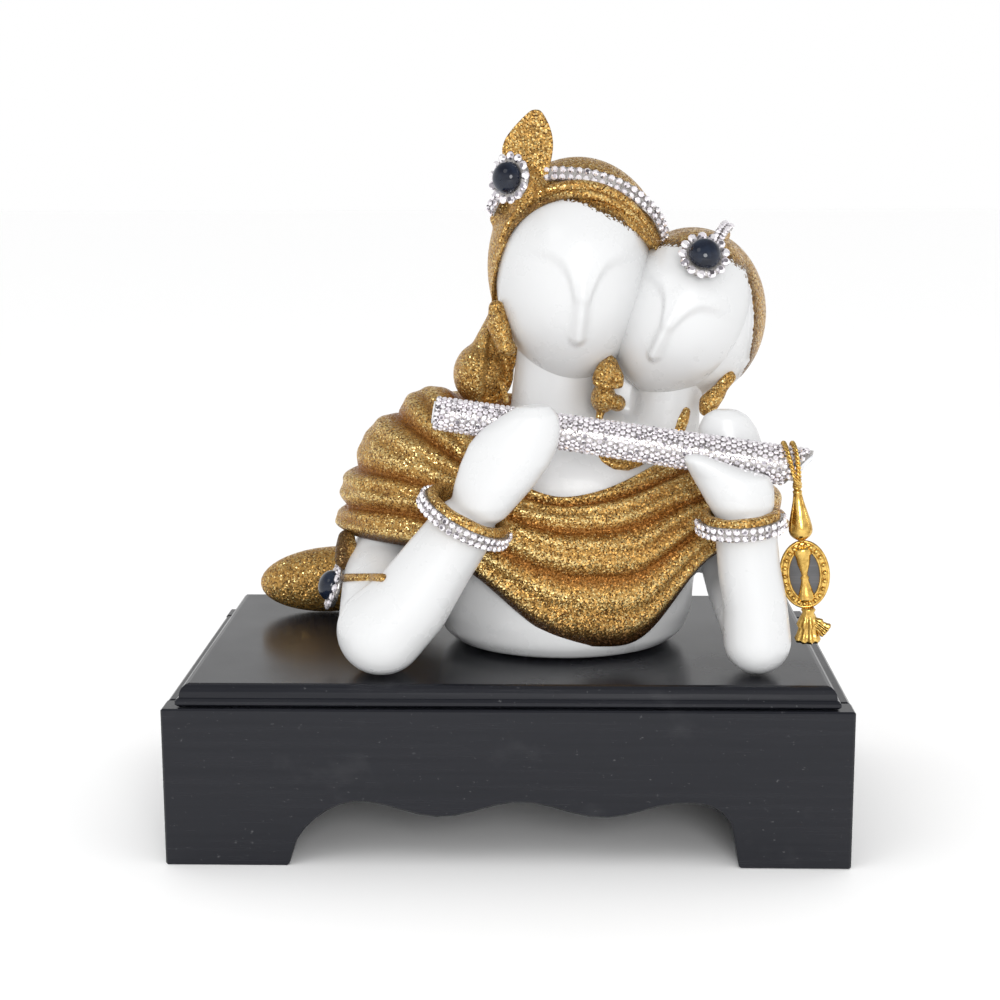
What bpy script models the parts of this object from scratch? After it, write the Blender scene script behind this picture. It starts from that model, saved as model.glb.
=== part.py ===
"""Statue of two figures sharing one shawl and a flute, on a stepped wooden plinth."""
import math

import bmesh
import bpy
from mathutils import Matrix, Quaternion, Vector

# Plinth, in metres
PLINTH_WIDTH = 0.194
PLINTH_DEPTH = 0.1165
FRAME_HEIGHT = 0.0459
FRAME_THICKNESS = 0.009
FRAME_ROUNDING = 0.0009
TOP_THICKNESS = 0.006
TOP_SIDE_INSET = 0.0039
TOP_FRONT_INSET = 0.0014
TOP_BEAD_HEIGHT = 0.0022
TOP_GROOVE_DEPTH = 0.0010
ARCH_RISE = 0.0191
ARCH_DIP = 0.0045
ARCH_STEPS = 30
GAP = 0.0003

# Arch of the front board, as shares of the plinth's width from its middle
ARCH_LEFT_TOE = -0.319
ARCH_FIRST_CREST = -0.216
ARCH_LAST_CREST = 0.258
ARCH_RIGHT_TOE = 0.338
ARCH_LEFT_POWER = 1.75
ARCH_RIGHT_POWER = 2.7

# Figure: its points are drawn in millimetres for the height DRAWN_HEIGHT, then scaled
FIGURE_HEIGHT = 0.1588
DRAWN_HEIGHT = 158.8
FIGURE_SCALE = FIGURE_HEIGHT / DRAWN_HEIGHT
FIGURE_GRAIN = 0.0009
FIGURE_MESH_SHARE = 0.0246
BLENDING_GRAINS = 58  # whole grains below the plinth's top at which the casting's blending starts
PLINTH_TOP = FRAME_HEIGHT + GAP + TOP_THICKNESS
FIGURE_FLOOR = PLINTH_TOP + GAP

# Flute
FLUTE_LEFT_RADIUS = 0.0043
FLUTE_RIGHT_RADIUS = 0.0053
FLUTE_SLEEVE_WALL = 0.0011
FLUTE_TUBE_WALL = 0.0010
FLUTE_SLANT = 0.0033
FLUTE_TUBE_RECESS = 0.0010
FLUTE_SIDES = 20
FLUTE_START = (-20.6, -35.5, 74.0)
FLUTE_END = (85.8, -35.5, 57.9)
HAND_CLEARANCE = 0.0003

# Stone strips and brooches
BAND_WIDTH = 0.0040
BAND_THICKNESS = 0.0012
BROOCH_RADIUS = 0.0072
BROOCH_THICKNESS = 0.0020
CABOCHON_RADIUS = 0.0046
CABOCHON_HEIGHT = 0.0034
ARMLET_BROOCH_RADIUS = 0.0070
SEAT_CLEARANCE = 0.0003
BROOCH_SIDES = 20

# Bangles, in metres
BANGLE_LEFT_RADIUS = 0.0134
BANGLE_RIGHT_RADIUS = 0.0116
BANGLE_HEIGHT = 0.0048
BANGLE_WALL = 0.0031

# Tassel
THREAD_RADIUS = 0.0008
THREAD_LEAN = 0.0028
THREAD_DIP = 0.0014
DROP_LEAN = 0.07
CHARM_LEAN = 0.12
CAP_LEAN = -0.03
DROP_RADIUS = 0.0034
DROP_LENGTH = 0.0148
CHARM_WIDTH = 0.0136
CHARM_HEIGHT = 0.0196
CHARM_THICKNESS = 0.0024
CHARM_RIM = 0.0026
CHARM_BAR = ((0, 0.0020), (0.3, 0.0015), (0.5, 0.0008), (0.7, 0.0015), (1, 0.0020))
CAP_TOP_RADIUS = 0.0022
CAP_WAIST_RADIUS = 0.0046
CAP_END_RADIUS = 0.0031
CAP_LENGTH = 0.0103

# Colours (red, green, blue), roughness, metallic
WHITE_RESIN = ((0.86, 0.86, 0.85), 0.25, 0.0)
WHITE_PLASTIC = ((0.88, 0.89, 0.90), 0.35, 0.0)
STONE_STRIP = ((0.74, 0.72, 0.74), 0.20, 0.9)
DARK_CABOCHON = ((0.010, 0.014, 0.035), 0.06, 0.0)
BRIGHT_GOLD = ((0.80, 0.56, 0.16), 0.22, 1.0)
PAINTED_BOARD = ((0.045, 0.046, 0.052), 0.38, 0.0)


def clear_scene():
    for old in list(bpy.data.objects):
        bpy.data.objects.remove(old, do_unlink=True)


def new_collection(name, helper=False):
    collection = bpy.data.collections.new(name)
    bpy.context.scene.collection.children.link(collection)
    collection.hide_render = helper
    return collection


def new_material(name, finish):
    colour, roughness, metallic = finish
    material = bpy.data.materials.new(name)
    material.use_nodes = True
    shader = material.node_tree.nodes["Principled BSDF"]
    shader.inputs["Base Color"].default_value = (*colour, 1.0)
    shader.inputs["Roughness"].default_value = roughness
    shader.inputs["Metallic"].default_value = metallic
    material.diffuse_color = (*colour, 1.0)
    return material


def add_object(name, bm, collection, material=None):
    """Closes the bmesh into an object of the collection. One with no material is a helper."""
    bmesh.ops.remove_doubles(bm, verts=bm.verts, dist=1e-6)
    bmesh.ops.recalc_face_normals(bm, faces=bm.faces)
    mesh = bpy.data.meshes.new(name)
    bm.to_mesh(mesh)
    bm.free()
    obj = bpy.data.objects.new(name, mesh)
    collection.objects.link(obj)
    if material:
        mesh.materials.append(material)
    else:
        obj.hide_render = True
        obj.display_type = "WIRE"
    return obj


def smooth_step(low, high, value):
    t = min(1.0, max(0.0, (value - low) / (high - low)))
    return t * t * (3 - 2 * t)


def on_figure(x, y, z):
    """A drawn point of the figure, in the world."""
    return Vector((x, y, z)) * FIGURE_SCALE + Vector((0, 0, FIGURE_FLOOR))


# Closed forms.


def loft(rings, end_points):
    """A closed bmesh over rings of equal length, with a point that closes each end."""
    bm = bmesh.new()
    rows = [[bm.verts.new(point) for point in ring] for ring in rings]
    count = len(rows[0])
    for low, high in zip(rows, rows[1:]):
        for i in range(count):
            j = (i + 1) % count
            bm.faces.new((low[i], low[j], high[j], high[i]))
    for row, point, turned in ((rows[0], end_points[0], True), (rows[-1], end_points[1], False)):
        tip = bm.verts.new(point)
        for i in range(count):
            j = (i + 1) % count
            bm.faces.new((row[j], row[i], tip) if turned else (row[i], row[j], tip))
    return bm


def stack(levels, sides):
    """A form of level ellipses, each (height, middle x, middle y, half width, half depth)."""
    rings = []
    for z, x, y, half_width, half_depth in levels:
        ring = []
        for i in range(sides):
            a = math.tau * i / sides
            ring.append(on_figure(x + half_width * math.cos(a), y + half_depth * math.sin(a), z))
        rings.append(ring)
    first, last = levels[0], levels[-1]
    ends = (on_figure(first[1], first[2], first[0]), on_figure(last[1], last[2], last[0]))
    return loft(rings, ends)


def limb(sections, sides, cap_rings=3):
    """A round-ended limb through sections of (x, y, z, radius)."""
    centres = [Vector(section[:3]) for section in sections]
    radii = [section[3] for section in sections]
    spine = []
    first = (centres[1] - centres[0]).normalized()
    last = (centres[-1] - centres[-2]).normalized()
    quarter = [math.pi / 2 * (k + 1) / (cap_rings + 1) for k in range(cap_rings)]
    for a in reversed(quarter):
        spine.append((centres[0] - first * radii[0] * math.sin(a), radii[0] * math.cos(a)))
    spine.extend(zip(centres, radii))
    for a in quarter:
        spine.append((centres[-1] + last * radii[-1] * math.sin(a), radii[-1] * math.cos(a)))
    side = Vector((0, 1, 0)).cross(first)
    rings = []
    for k, (centre, radius) in enumerate(spine):
        before = spine[max(k - 1, 0)][0]
        after = spine[min(k + 1, len(spine) - 1)][0]
        along = (after - before).normalized()
        side = (side - along * side.dot(along)).normalized()
        depth = along.cross(side)
        ring = []
        for i in range(sides):
            a = math.tau * i / sides
            point = centre + side * radius * math.cos(a) + depth * radius * math.sin(a)
            ring.append(on_figure(*point))
        rings.append(ring)
    ends = (centres[0] - first * radii[0], centres[-1] + last * radii[-1])
    return loft(rings, [on_figure(*end) for end in ends])


def ball(centre, radii, sides=20, rows=12, tilt=0.0, turn=0.0, shape=None, front_density=0.0):
    """An ellipsoid with its pole up, leaned by tilt to +X and turned about its pole.

    shape(x, y, z) moves a point of the upright form, drawn about its own middle.
    front_density draws the sides together towards -Y."""
    lean = Quaternion((0, 1, 0), math.radians(tilt)) @ Quaternion((0, 0, 1), math.radians(turn))
    middle = Vector(centre)

    def placed(x, y, z):
        if shape:
            x, y, z = shape(x, y, z)
        return on_figure(*(middle + lean @ Vector((x, y, z))))

    rings = []
    for row in range(1, rows):
        polar = math.pi * row / rows
        ring = []
        for i in range(sides):
            t = 2 * i / sides - 1
            a = -math.pi / 2 + math.pi * (t * (1 - front_density) + front_density * t**3)
            ring.append(placed(
                radii[0] * math.sin(polar) * math.cos(a),
                radii[1] * math.sin(polar) * math.sin(a),
                -radii[2] * math.cos(polar),
            ))
        rings.append(ring)
    return loft(rings, (placed(0, 0, -radii[2]), placed(0, 0, radii[2])))


def ribbon(path, outward, width, thickness):
    """A flat strip whose inner face runs through the path, wide across the path."""
    rings = []
    for k, point in enumerate(path):
        along = (path[min(k + 1, len(path) - 1)] - path[max(k - 1, 0)]).normalized()
        across = along.cross(outward[k]).normalized() * width / 2
        rise = outward[k].normalized() * thickness
        rings.append([point - across, point + across, point + across + rise, point - across + rise])
    ends = [sum(ring, Vector()) / len(ring) for ring in (rings[0], rings[-1])]
    return loft(rings, ends)


def turned(profile, sides, frame):
    """A turned form: profile of (height, radius) about the frame's own z, closed at both ends."""
    rings = []
    for height, radius in profile:
        ring = []
        for i in range(sides):
            a = math.tau * i / sides
            ring.append(frame @ Vector((radius * math.cos(a), radius * math.sin(a), height)))
        rings.append(ring)
    ends = (frame @ Vector((0, 0, profile[0][0])), frame @ Vector((0, 0, profile[-1][0])))
    return loft(rings, ends)


def tube(outer, inner, sides, frame, slant=0.0):
    """A hollow turned form between two ends, each (height, radius). Slant leans its last end."""
    rings = []
    for height, radius in (*outer, *reversed(inner)):
        last = height >= outer[-1][0] - 1e-9
        ring = []
        for i in range(sides):
            a = math.tau * i / sides
            lift = slant * math.cos(a) if last else 0.0
            ring.append(frame @ Vector((radius * math.cos(a), radius * math.sin(a), height + lift)))
        rings.append(ring)
    bm = bmesh.new()
    rows = [[bm.verts.new(point) for point in ring] for ring in rings]
    for k, row in enumerate(rows):
        following = rows[(k + 1) % len(rows)]
        for i in range(sides):
            j = (i + 1) % sides
            bm.faces.new((row[i], row[j], following[j], following[i]))
    return bm


def facing(point, direction, spin=(0, 0, 1)):
    """A frame at the point whose z looks along the direction, with x near spin."""
    z = Vector(direction).normalized()
    x = (Vector(spin) - z * Vector(spin).dot(z)).normalized()
    y = z.cross(x)
    frame = Matrix((x, y, z)).transposed().to_4x4()
    frame.translation = point
    return frame


# Figure.

TORSO_LEVELS = (
    (0.0, 15.5, -2, 28.0, 25.0),
    (0.9, 15.8, -2, 32.5, 28.5),
    (4.0, 16, -2, 36.5, 30.6),
    (10.0, 16.5, -1.5, 38.5, 31.2),
    (20.0, 17, -0.5, 39.0, 31.2),
    (32.0, 17, 0, 38.0, 29.5),
    (44.0, 17, 0, 36.0, 27.0),
    (54.0, 17, 0, 30.0, 22.0),
    (60.0, 17, 0, 18.0, 14.0),
)

HEAD_ONE = {"centre": (18.8, -2.5, 110.2), "radii": (22.8, 24.5, 31.4), "tilt": 4.0, "turn": 6.0}
HEAD_TWO = {"centre": (50.6, -2.0, 99.2), "radii": (19.8, 22.0, 25.8), "tilt": 26.0, "turn": -10.0}
CAP_ONE = {"centre": (20.0, 2.0, 112.8), "radii": (26.8, 27.0, 32.2)}
CAP_TWO = {"centre": (54.0, 4.0, 100.0), "radii": (22.0, 23.0, 25.5), "tilt": 20.0}
CHIN_NARROWING = 0.12
BROW_RISE = 1.9
NOSE_RISE = 2.7
NOSE_HALF_WIDTH = 0.078
NOSE_SOFTNESS = 0.022
NOSE_END = -0.55
BROW_SOFTNESS = 0.045
BROW_HEIGHT = 0.245
BROW_DROP = 0.50
BROW_SWEEP = 0.11

SHAWL_MIDDLE = Vector((16.0, 0.0, 0.0))
SHAWL_NECK = (33.0, 27.0)
SHAWL_HEM = (66.0, 32.0)
SHAWL_BULGE = 2.5
HEM_LOW = 4.8
HEM_LIFT = 27.5
HEM_LOW_AT = 0.20
HEM_SPREAD = (0.52, 0.33)
FOLD_VALLEYS = {
    "left": (0.27, 0.68, 0.88),
    "front": (0.14, 0.40, 0.67),
    "right": (0.27, 0.62, 0.85),
    "back": (0.20, 0.46, 0.72),
}
FOLD_DEPTH = {"left": 3.4, "front": 2.1, "right": 2.6, "back": 1.8}
FOLD_STEPS = (0.0, 0.12, 0.3, 0.5, 0.7, 0.88)
SHAWL_SIDES = 96


def face_shape(radii):
    """The head's own form: a narrow chin, a brow that stands proud, and a straight nose."""
    half_width, half_depth, half_height = radii

    def shape(x, y, z):
        low = max(0.0, -z / half_height)
        x *= 1 - CHIN_NARROWING * low * low
        if y > 0:
            return x, y, z
        across = abs(x) / half_height
        height = z / half_height
        edge = BROW_HEIGHT - BROW_DROP * math.exp(-(across - NOSE_HALF_WIDTH) / BROW_SWEEP)
        brow = smooth_step(edge - BROW_SOFTNESS, edge + BROW_SOFTNESS, height)
        brow *= smooth_step(NOSE_END - 0.04, NOSE_END + 0.04, height)
        nose = 1 - smooth_step(NOSE_HALF_WIDTH - NOSE_SOFTNESS, NOSE_HALF_WIDTH + NOSE_SOFTNESS, across)
        nose *= smooth_step(NOSE_END - 0.04, NOSE_END + 0.04, height)
        nose *= 1 - smooth_step(-0.35, 0.05, height)
        front = smooth_step(0.10, 0.55, -y / half_depth)
        return x, y - front * max(BROW_RISE * brow, NOSE_RISE * nose), z

    return shape


def around(values, t):
    """Blends the values of the four sides at the angle t, which starts at the right."""
    c, s = math.cos(t), math.sin(t)
    side = values["right"] if c > 0 else values["left"]
    ends = values["back"] if s > 0 else values["front"]
    return side * c * c + ends * s * s


def shawl_base(t, v):
    """A point of the shawl without its folds: v runs from the neckline, 0, to the hem, 1."""
    c, s = math.cos(t), math.sin(t)
    offset = c - HEM_LOW_AT
    spread = HEM_SPREAD[0] if offset < 0 else HEM_SPREAD[1]
    lift = 1 - math.exp(-((offset / spread) ** 2))
    hem = HEM_LOW + HEM_LIFT * max(lift, 0.35 * smooth_step(0.0, 0.8, s))
    front_neck = 48.3 + (27.5 * c * c if c < 0 else 12.0 * c**1.8)
    back_neck = 68.0 - 5.0 * c
    behind = smooth_step(-0.1, 0.7, s)
    neck = front_neck * (1 - behind) + back_neck * behind
    q = v * math.pi / 2
    half_width = SHAWL_NECK[0] + (SHAWL_HEM[0] - SHAWL_NECK[0]) * math.sin(q)
    half_depth = SHAWL_NECK[1] + (SHAWL_HEM[1] - SHAWL_NECK[1]) * math.sin(q)
    half_depth += SHAWL_BULGE * math.sin(2 * q)
    return SHAWL_MIDDLE + Vector((half_width * c, half_depth * s, hem + (neck - hem) * math.cos(q)))


def shawl_point(t, v, rise):
    step = 1e-3
    base = shawl_base(t, v)
    along = shawl_base(t + step, v) - base
    down = shawl_base(t, min(v + step, 1.0)) - shawl_base(t, min(v + step, 1.0) - step)
    normal = down.cross(along).normalized()
    return base + normal * rise


def shawl():
    rings = [[] for _ in range(4 * len(FOLD_STEPS) + 1)]
    inner_neck, inner_hem = [], []
    for i in range(SHAWL_SIDES):
        t = math.tau * i / SHAWL_SIDES
        valleys = [around({side: FOLD_VALLEYS[side][k] for side in FOLD_VALLEYS}, t) for k in range(3)]
        marks = [0.0, *valleys, 1.0]
        depth = around(FOLD_DEPTH, t)
        row = 0
        for low, high in zip(marks, marks[1:]):
            for share in FOLD_STEPS:
                rise = depth * math.sin(math.pi * share) ** 0.75
                rings[row].append(on_figure(*shawl_point(t, low + (high - low) * share, rise)))
                row += 1
        rings[row].append(on_figure(*shawl_point(t, 1.0, 0.0)))
        neck, hem = shawl_base(t, 0.0), shawl_base(t, 1.0)
        inward = Vector((SHAWL_MIDDLE.x - neck.x, SHAWL_MIDDLE.y - neck.y, 0)).normalized()
        inner_neck.append(on_figure(*(neck + inward * 4.0 - Vector((0, 0, 5.0)))))
        inward = Vector((SHAWL_MIDDLE.x - hem.x, SHAWL_MIDDLE.y - hem.y, 0)).normalized()
        inner_hem.append(on_figure(*(hem + inward * 5.0 + Vector((0, 0, 1.6)))))
    ends = (on_figure(SHAWL_MIDDLE.x, 0, 50.0), on_figure(SHAWL_MIDDLE.x, 0, 22.0))
    return loft([inner_neck, *rings, inner_hem], ends)


def leaf():
    """The upright leaf: a flat blade, hollowed a little in front, on a short stem."""
    blade = (
        (130.0, 9.0, -15.5, 2.2), (136.0, 8.2, -14.5, 2.6), (141.0, 6.4, -13.4, 5.2), (146.0, 5.3, -12.3, 7.4),
        (150.0, 5.8, -11.4, 7.0), (153.5, 6.7, -10.6, 5.2), (156.5, 7.4, -10.0, 3.0), (158.3, 7.7, -9.6, 1.2),
    )
    rings = []
    for z, x, middle, half_width in blade:
        ring = []
        for side, depth in ((-1, 0), (-0.5, 1), (0, 1.2), (0.5, 1), (1, 0), (0.5, -1), (0, -0.5), (-0.5, -1)):
            y = middle + 1.5 * depth - 0.05 * abs(side) * half_width
            ring.append(on_figure(x + side * half_width, y, z))
        rings.append(ring)
    return loft(rings, (on_figure(9.0, -15.7, 129.0), on_figure(7.8, -9.5, DRAWN_HEIGHT)))


def arc_on_head(start, stop, steps, half_width, half_height, front, side):
    """Points over the forehead of the larger head, from start to stop in degrees from its top."""
    points = []
    for k in range(steps + 1):
        a = math.radians(start + (stop - start) * k / steps)
        depth = side + (front - side) * math.cos(a) ** 2
        points.append((19.8 + half_width * math.sin(a), depth, 112.0 + half_height * math.cos(a)))
    return points


def on_cap(x, z):
    """The depth of the larger head's cap at a point of the front view."""
    middle, radii = CAP_ONE["centre"], CAP_ONE["radii"]
    inside = 1 - ((x - middle[0]) / radii[0]) ** 2 - ((z - middle[2]) / radii[2]) ** 2
    return middle[1] - radii[1] * math.sqrt(max(0.0, inside))


BANGLE_LEFT = {"centre": (-12.2, -42.9, 44.4), "axis": (0.55, -0.13, 0.83), "radius": BANGLE_LEFT_RADIUS}
BANGLE_RIGHT = {"centre": (66.3, -42.5, 43.6), "axis": (-0.07, -0.08, 0.99), "radius": BANGLE_RIGHT_RADIUS}

BROOCHES = {
    "crown": {"centre": (0.6, -17.5, 139.0), "normal": (-0.62, -0.76, 0.12), "radius": BROOCH_RADIUS},
    "forehead": {"centre": (55.6, -23.2, 117.0), "normal": (0.10, -0.80, 0.52), "radius": BROOCH_RADIUS},
    "armlet": {
        "centre": (-52.2, -15.0, 18.6), "normal": (-0.94, -0.16, 0.30), "radius": ARMLET_BROOCH_RADIUS,
    },
}


def bangle_ring(bangle):
    half = BANGLE_HEIGHT / 2
    outer = bangle["radius"]
    inner = outer - BANGLE_WALL
    frame = facing(on_figure(*bangle["centre"]), bangle["axis"], (1, 0, 0))
    return tube(((-half, outer), (half, outer)), ((-half, inner), (half, inner)), 48, frame)


def bangle_path(bangle, start, stop, steps=14):
    """The way of the stone strip on a bangle's front, from start to stop in degrees about its axis."""
    frame = facing(on_figure(*bangle["centre"]), bangle["axis"], (1, 0, 0))
    path, outward = [], []
    for k in range(steps + 1):
        a = math.radians(start + (stop - start) * k / steps)
        direction = frame.to_3x3() @ Vector((math.cos(a), math.sin(a), 0))
        path.append(frame.translation + direction * (bangle["radius"] + GAP))
        outward.append(direction)
    return path, outward


def cap_path(cap, points):
    """Points drawn near a cap, brought GAP outside its surface, and the outward directions there."""
    middle, radii = Vector(cap["centre"]), cap["radii"]
    lean = Quaternion((0, 1, 0), math.radians(cap.get("tilt", 0.0)))
    path, outward = [], []
    for point in points:
        local = lean.inverted() @ (Vector(point) - middle)
        local /= Vector([local[k] / radii[k] for k in range(3)]).length
        normal = lean @ Vector([local[k] / radii[k] ** 2 for k in range(3)]).normalized()
        path.append(on_figure(*(middle + lean @ local)) + normal * GAP)
        outward.append(normal)
    return path, outward


def band_paths():
    """The way of each stone strip, and the outward direction at each of its points."""
    over_head = [(x, on_cap(x, z), z) for x, _, z in arc_on_head(-62, 68, 20, 26.2, 29.0, 0, 0)]
    parting = [(58.6 + 1.1 * k, -8.0 + 4.5 * k, 122.0 + 1.2 * k) for k in range(5)]
    return {
        "crown_band": cap_path(CAP_ONE, over_head),
        "parting_strip": cap_path(CAP_TWO, parting),
        "bangle_band_left": bangle_path(BANGLE_LEFT, -215, 5),
        "bangle_band_right": bangle_path(BANGLE_RIGHT, -185, 5),
    }


def flute_frame():
    start, end = on_figure(*FLUTE_START), on_figure(*FLUTE_END)
    return facing(start, end - start, (0, 0, 1)), (end - start).length


def figure_forms():
    """The overlapping closed forms that are cast in one."""
    return [
        stack(TORSO_LEVELS, 48),
        ball((16, 0, 42), (50, 26, 30), 40, 24),
        shawl(),
        *head_forms(),
        *ornament_forms(),
        *left_arm_forms(),
        *right_arm_forms(),
        ball((-58.0, 30.0, 10.6), (24.0, 9.5, 10.6), 32, 20, tilt=-4),
        limb([(-52, 28, 11, 9.0), (-34, 22, 16, 10.0), (-14, 14, 24, 12.0)], 24),
    ]


def head_forms():
    """The two heads on their necks, with their hair."""
    return [
        stack((
            (46, 12, 1, 14, 13), (60, 12.5, 0, 13, 12), (75, 13, 0, 12.6, 12), (92, 15, 0, 12.5, 12),
        ), 28),
        stack((
            (46, 45, 1, 13, 12), (58, 46, 0, 11, 11), (70, 46.5, 0, 10.4, 10.5), (86, 49, 0, 10.5, 10),
        ), 28),
        ball((33, 5, 70), (15, 9, 20), 24, 16),
        ball(**HEAD_ONE, sides=72, rows=56, shape=face_shape(HEAD_ONE["radii"]), front_density=0.55),
        ball(**HEAD_TWO, sides=72, rows=50, shape=face_shape(HEAD_TWO["radii"]), front_density=0.55),
        ball(**CAP_ONE, sides=48, rows=32),
        ball(**CAP_TWO, sides=44, rows=28),
        limb([(*p, 3.1) for p in arc_on_head(-74, 76, 24, 23.2, 23.6, -18.0, -11.0)], 16),
        ball((-8.2, 4.0, 80.5), (9.2, 11.5, 9.8), 28, 18, tilt=10),
        limb([(2.5, 4, 106, 7.2), (0.6, 4, 96, 7.6), (-4.6, 4, 87, 7.4)], 20),
        leaf(),
    ]


def ornament_forms():
    """The ears, drops and necklace, cast in relief."""
    return [
        ball((-2.6, -10.0, 96.5), (3.4, 4.0, 7.4), 20, 14, tilt=8),
        ball((1.3, -7.0, 75.5), (1.9, 4.4, 5.0), 16, 10, tilt=-12),
        ball((28.6, -14.0, 84.5), (4.3, 6.5, 6.4), 20, 14, tilt=15),
        ball((29.0, -13.0, 77.0), (5.0, 7.5, 5.6), 20, 14, tilt=20),
        limb([(64.6, -6.5, 80.3, 2.6), (58.6, -8.5, 73.4, 2.9)], 14),
        limb([(51.8, -9.0, 69.5, 2.0), (50.2, -9.6, 64.5, 2.0)], 12),
        limb([
            (23.6, -13.6, 66.0, 1.7), (25.6, -18.0, 60.5, 1.7), (29.5, -20.4, 57.3, 1.8),
            (34.6, -20.4, 56.6, 1.8), (39.5, -18.6, 58.4, 1.7), (43.5, -15.4, 62.0, 1.7),
        ], 12),
    ]


def left_arm_forms():
    """The arm on the viewer's left, with its hand, armlet and bangle."""
    return [
        limb([(-31, 4, 36, 12.5), (-37.5, -12, 21, 12.6), (-36.5, -34, 13.4, 12.6)], 28),
        limb([
            (-35.8, -44.2, 12.8, 12.8), (-27.8, -44.0, 20.6, 11.6),
            (-20.2, -43.6, 31.6, 10.3), (-12.6, -43.4, 42.0, 9.2),
        ], 32),
        stack((
            (43.6, -7.6, -44.4, 4.2, 3.6), (45.5, -7.8, -44.4, 7.4, 6.6), (49, -6.6, -44.4, 9.3, 8.0),
            (55, -3.4, -44.4, 11.4, 8.4), (61, -0.4, -44.4, 12.6, 8.0), (66.5, 2.0, -44.4, 12.5, 7.4),
            (70.5, 4.0, -44.4, 11.0, 6.8), (74.5, 6.6, -44.4, 7.8, 5.8), (77.2, 7.7, -44.4, 4.4, 3.8),
        ), 32),
        limb([(-39.5, -13.6, 19.8, 13.1), (-39.3, -16.6, 18.8, 13.1)], 28),
        limb([(-50.5, -13.0, 31, 2.8), (-50.2, -15.0, 23.5, 2.4)], 14),
        bangle_ring(BANGLE_LEFT),
    ]


def right_arm_forms():
    """The arm on the viewer's right: its thumb before the flute, its palm behind."""
    return [
        limb([(66, 0, 36, 11.5), (69, -14, 20, 10.5), (71.2, -34, 10.4, 9.3)], 26),
        limb([
            (71.0, -42.0, 9.6, 9.6), (70.2, -42.0, 20, 9.0), (68.3, -42.0, 30, 8.8), (67.0, -42.0, 43, 8.7),
        ], 30),
        stack((
            (43.6, 66.2, -42, 5.0, 4.5), (45.6, 66.0, -42, 7.8, 7.4), (49, 65.6, -41.5, 9.4, 8.8),
            (53.5, 64.2, -41.5, 10.6, 8.6), (57, 62.6, -42, 11.0, 7.6), (59.6, 57.4, -43.5, 7.2, 5.6),
            (62.2, 53.4, -44.5, 4.4, 4.4), (63.6, 52.0, -44.8, 2.2, 2.4),
        ), 30),
        stack((
            (47.0, 66.0, -37, 7.0, 6.0), (51, 66.0, -35, 8.8, 7.4), (57, 65.4, -30.5, 9.4, 6.4),
            (63, 64.0, -28.0, 9.2, 5.6), (68.5, 62.8, -27.0, 8.4, 5.2), (72, 62.3, -27.0, 6.3, 4.4),
            (73.8, 62.2, -27.0, 3.2, 2.4),
        ), 28),
        bangle_ring(BANGLE_RIGHT),
    ]


def figure_seats(collection):
    """What is taken out of the casting: the flute's way and the brooches' seats."""
    frame, length = flute_frame()
    margin = 0.004
    slope = (FLUTE_RIGHT_RADIUS - FLUTE_LEFT_RADIUS) / length
    add_object("flute_way", turned((
        (-margin, FLUTE_LEFT_RADIUS + HAND_CLEARANCE - slope * margin),
        (length + margin, FLUTE_RIGHT_RADIUS + HAND_CLEARANCE + slope * margin),
    ), FLUTE_SIDES, frame), collection)
    for name, brooch in BROOCHES.items():
        frame = facing(on_figure(*brooch["centre"]), brooch["normal"])
        reach = brooch["radius"] + SEAT_CLEARANCE
        add_object(name + "_seat", turned((
            (-BROOCH_THICKNESS / 2 - SEAT_CLEARANCE, reach), (3 * BROOCH_THICKNESS, reach),
        ), BROOCH_SIDES, frame), collection)
    for name, (path, outward) in band_paths().items():
        floor = [point - direction * GAP for point, direction in zip(path, outward)]
        ends = (floor[1] - floor[0]).normalized(), (floor[-1] - floor[-2]).normalized()
        floor[0] -= ends[0] * SEAT_CLEARANCE
        floor[-1] += ends[1] * SEAT_CLEARANCE
        seat = ribbon(floor, outward, BAND_WIDTH + 2 * SEAT_CLEARANCE, 2 * BAND_THICKNESS)
        add_object(name + "_seat", seat, collection)


def build_figure(parts, seats, finish):
    """The casting: its forms blended into one body, lightened, then cut for what it holds.

    They are blended at one set distance from the plinth's top, so its height leaves them as they are."""
    lift = Matrix.Translation((0, 0, PLINTH_TOP - BLENDING_GRAINS * FIGURE_GRAIN))
    whole = bmesh.new()
    for form in figure_forms():
        bmesh.ops.recalc_face_normals(form, faces=form.faces)
        mesh = bpy.data.meshes.new("form")
        form.to_mesh(mesh)
        form.free()
        whole.from_mesh(mesh)
        bpy.data.meshes.remove(mesh)
    mesh = bpy.data.meshes.new("figure")
    whole.to_mesh(mesh)
    whole.free()
    mesh.transform(lift.inverted())
    figure = bpy.data.objects.new("figure", mesh)
    figure.matrix_world = lift
    parts.objects.link(figure)
    mesh.materials.append(finish)
    blended = figure.modifiers.new("Blended", "REMESH")
    blended.mode = "VOXEL"
    blended.voxel_size = FIGURE_GRAIN
    lighter = figure.modifiers.new("Lighter", "DECIMATE")
    lighter.ratio = FIGURE_MESH_SHARE
    figure_seats(seats)
    cut = figure.modifiers.new("Seats", "BOOLEAN")
    cut.operation = "DIFFERENCE"
    cut.operand_type = "COLLECTION"
    cut.collection = seats
    cut.solver = "EXACT"


# Flute, strips and brooches.


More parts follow.
